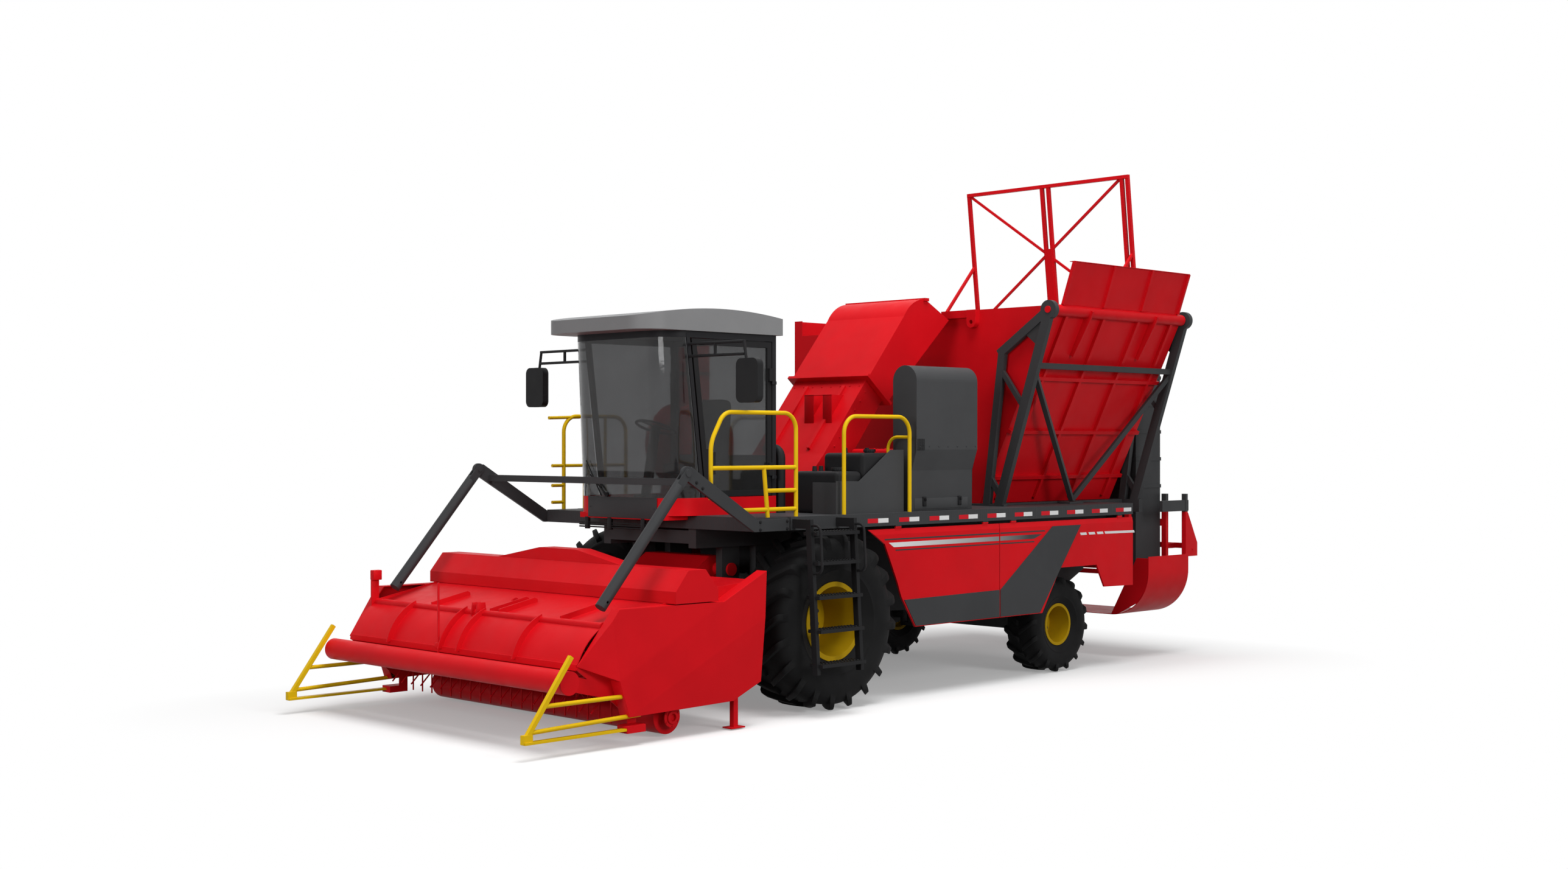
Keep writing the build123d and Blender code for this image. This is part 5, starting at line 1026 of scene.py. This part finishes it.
hang("elevator_bolts", bm, red, "carrier")

# %% [markdown]
# ## Fan and pipe
#
# The fan has a wire guard on its inlet and clamp bands round the stack, and a bent pipe leads into the
# cab's rear wall. Guard and bands are rings of flat wire with spokes over them, as a welded guard is.

# %% Fan guard and pipe
FAN = ahead(-0.48)
WIRE = 0.006
PIPE, BEND = ahead(-0.13), 0.09
bm = bmesh.new()
inlet = on_side((FAN, -1.17, 2.4), -1)
for ring in (0.08, 0.16, 0.24, 0.32, 0.4):
    add_ring(bm, inlet, ring - WIRE, ring + WIRE, 0.012)
for t in turns(8):
    spoke = inlet @ Matrix.Rotation(t, 4, "Z")
    add_tube(bm, [spoke @ Vector((r, 0, 0.012)) for r in (0.07, 0.24, 0.41)], WIRE, sides=8)
for z in (2.75, 3.1, 3.45):
    add_ring(bm, on_top((FAN, -0.96, z)), 0.198, 0.207, 0.03)
hang("fan_guard", bm, black, "carrier")
bm = bmesh.new()
quarter = [math.pi / 2 * k / 6 for k in range(7)]
elbow = [(PIPE, 0.61 + BEND * math.cos(t), 2.27 + BEND * math.sin(t)) for t in quarter]
add_tube(bm, [(PIPE, 0.7, DECK_TOP), (PIPE, 0.7, 2.0)] + elbow + [(PIPE, 0.5, 2.36)], 0.045, sides=20)
hang("intake_pipe", bm, plastic, "carrier")

# %% [markdown]
# ## Engine
#
# Between the elevator and the cover stands the engine, low and mostly hidden: an iron block with ribs
# toward the middle of the machine and a red lid on top. The solid is a taller block, so this piece takes
# its place.

# %% Engine block and lid
ENGINE, ENGINE_SIDE = ahead(-1.625), 0.83
bm = bmesh.new()
add_block(bm, (0.85, 0.53, 0.46), on_top((ENGINE, ENGINE_SIDE, DECK_TOP)), bevel=0.02, segments=3)
for k in range(9):
    add_block(bm, (0.03, 0.36, 0.02), on_side((ahead(-1.28 - 0.085 * k), 0.58, 2.0), -1), bevel=0.005)
block = hang("engine_block", bm, iron, "carrier")
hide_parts("engine")
bm = bmesh.new()
add_block(bm, (0.8, 0.5, 0.14), on_top((ENGINE, ENGINE_SIDE, 2.215)), bevel=0.03, segments=3)
for k in range(5):
    add_bolt(bm, (ahead(-1.3 - 0.16 * k), ENGINE_SIDE, 2.355), (0, 0, 1), 0.01)
hang("engine_lid", bm, red, "carrier")

# %% [markdown]
# ## Rear boot
#
# Bolts join the end plates of the boot to its posts. They are painted over with the boot, so they share its
# red.

# %% Boot bolts
BOOT_SIDE = 1.385
bm = bmesh.new()
for s in (1, -1):
    for d, z in ((-5.98, 1.5), (-5.98, 1.2), (-6.1, 1.2)):
        add_bolt(bm, (ahead(d), s * BOOT_SIDE, z), (0, s, 0), 0.01)
hang("boot_bolts", bm, red, "carrier")

# %% [markdown]
# ## Sky and lamps
#
# The machine stands under broad soft lamps from above, from its left and from the front. A bright room
# would fill every shade, so the sky looks white to the camera while the light that it gives is low, and
# shaded sides stay dark. The light path tells the two apart.

# %% Sky and lamps
ROOM_LIGHT = 0.26
PLAIN_WHITE = (1, 1, 1, 1)
# Name, place, point that it looks at, width and power.
LAMPS = (
    ("lamp_top", (1.0, 4.0, 16.0), (0, 0, 1), 9.0, 2000),
    ("lamp_left", (1.0, 17.0, 7.0), (0, 0, 1.5), 6.0, 1020),
    ("lamp_front", (16.0, 4.0, 5.0), (2, 0, 1), 5.0, 760),
)


def seen_directly(tree):
    """One for rays that look, mirror or pass through glass, and zero for the light of the room."""
    path = tree.nodes.new("ShaderNodeLightPath")
    looked = worked_out(tree, "MAXIMUM", path.outputs["Is Camera Ray"], path.outputs["Is Glossy Ray"])
    return worked_out(tree, "MAXIMUM", looked, path.outputs["Is Transmission Ray"])


def white_sky():
    """A sky that looks white and lights softly."""
    sky = bpy.data.worlds.new("sky")
    sky.use_nodes = True
    bpy.context.scene.world = sky
    tree = sky.node_tree
    room = tree.nodes["Background"]
    seen = tree.nodes.new("ShaderNodeBackground")
    for light, strength in ((room, ROOM_LIGHT), (seen, 1.0)):
        light.inputs["Color"].default_value = PLAIN_WHITE
        light.inputs["Strength"].default_value = strength
    pick = tree.nodes.new("ShaderNodeMixShader")
    tree.links.new(seen_directly(tree), pick.inputs["Fac"])
    tree.links.new(room.outputs["Background"], pick.inputs[1])
    tree.links.new(seen.outputs["Background"], pick.inputs[2])
    tree.links.new(pick.outputs["Shader"], tree.nodes["World Output"].inputs["Surface"])


white_sky()
for name, place, aim, size, power in LAMPS:
    lamp = bpy.data.lights.new(name, "AREA")
    lamp.size = size
    lamp.energy = power
    holder = bpy.data.objects.new(name, lamp)
    holder.location = place
    holder.rotation_euler = (Vector(aim) - Vector(place)).to_track_quat("-Z", "Y").to_euler()
    bpy.context.scene.collection.objects.link(holder)
print("lamps:", len(LAMPS))

# %% [markdown]
# ## Floor
#
# The floor is white and has no horizon. Round the machine it keeps the shadow, and within two metres
# outside of that patch it turns into plain white. It shows a pale tone and throws back a darker one,
# because light from a white floor would brighten the underside and flatten the folds of the sheets.

# %% Floor
FLOOR_SHOWN = (0.93, 0.93, 0.93)
FLOOR_THROWN = (0.25, 0.25, 0.25)
SHADED_PATCH = (4.7, 1.75, 1.0)
FADE_OUT = 1.8
GLOW_NEAR = 0.25


def outside_patch(tree, where):
    """Distance from the shaded patch, and zero on it."""
    offset = where.outputs["Object"]
    for operation, amount in (("ABSOLUTE", None), ("SUBTRACT", SHADED_PATCH), ("MAXIMUM", (0, 0, 0))):
        step = tree.nodes.new("ShaderNodeVectorMath")
        step.operation = operation
        if amount:
            step.inputs[1].default_value = amount
        tree.links.new(offset, step.inputs[0])
        offset = step.outputs["Vector"]
    length = tree.nodes.new("ShaderNodeVectorMath")
    length.operation = "LENGTH"
    tree.links.new(offset, length.inputs[0])
    return length.outputs["Value"]


def white_floor():
    """Pale floor that turns into plain white away from the machine."""
    made = finish("floor_white", FLOOR_SHOWN, 0.9, drift=0.01, bump=0.02)
    tree = made.node_tree
    shader = tree.nodes["Principled BSDF"]
    shader.inputs["Specular IOR Level"].default_value = 0.0
    direct = seen_directly(tree)
    tree.links.new(colour_mix(tree, direct, FLOOR_THROWN, FLOOR_SHOWN), shader.inputs["Base Color"])
    away = outside_patch(tree, node_of(tree, "ShaderNodeTexCoord"))
    share = worked_out(tree, "MULTIPLY", spread(tree, away, GLOW_NEAR, 1.0, 0.0, FADE_OUT), direct)
    glow = tree.nodes.new("ShaderNodeEmission")
    blend = tree.nodes.new("ShaderNodeMixShader")
    tree.links.new(share, blend.inputs["Fac"])
    tree.links.new(shader.outputs["BSDF"], blend.inputs[1])
    tree.links.new(glow.outputs["Emission"], blend.inputs[2])
    tree.links.new(blend.outputs["Shader"], tree.nodes["Material Output"].inputs["Surface"])
    bpy.ops.mesh.primitive_plane_add(size=400, location=(0, 0, -0.001))
    floor = bpy.context.object
    floor.name = "floor"
    floor.data.materials.append(made)
    return floor


print("stage:", white_floor().name)

# %% [markdown]
# ## Camera
#
# The camera stands off the front left corner and looks level, so that upright edges stay upright in the
# picture. A small shift of the lens moves the machine in the frame, where a tilt would make its walls lean.

# %% Camera
def corner_camera():
    """Level camera off the front left corner."""
    lens = bpy.data.cameras.new("camera")
    lens.sensor_width = 36.0
    lens.lens = 42.2
    lens.shift_y = 0.005
    lens.clip_end = 500.0
    camera = bpy.data.objects.new("camera", lens)
    camera.location = (13.35, 12.95, 2.42)
    camera.rotation_euler = (math.radians(90), 0, math.radians(135))
    bpy.context.scene.collection.objects.link(camera)
    bpy.context.scene.camera = camera
    return camera


print("camera at", tuple(corner_camera().location))
bpy.context.scene.view_settings.view_transform = "Standard"
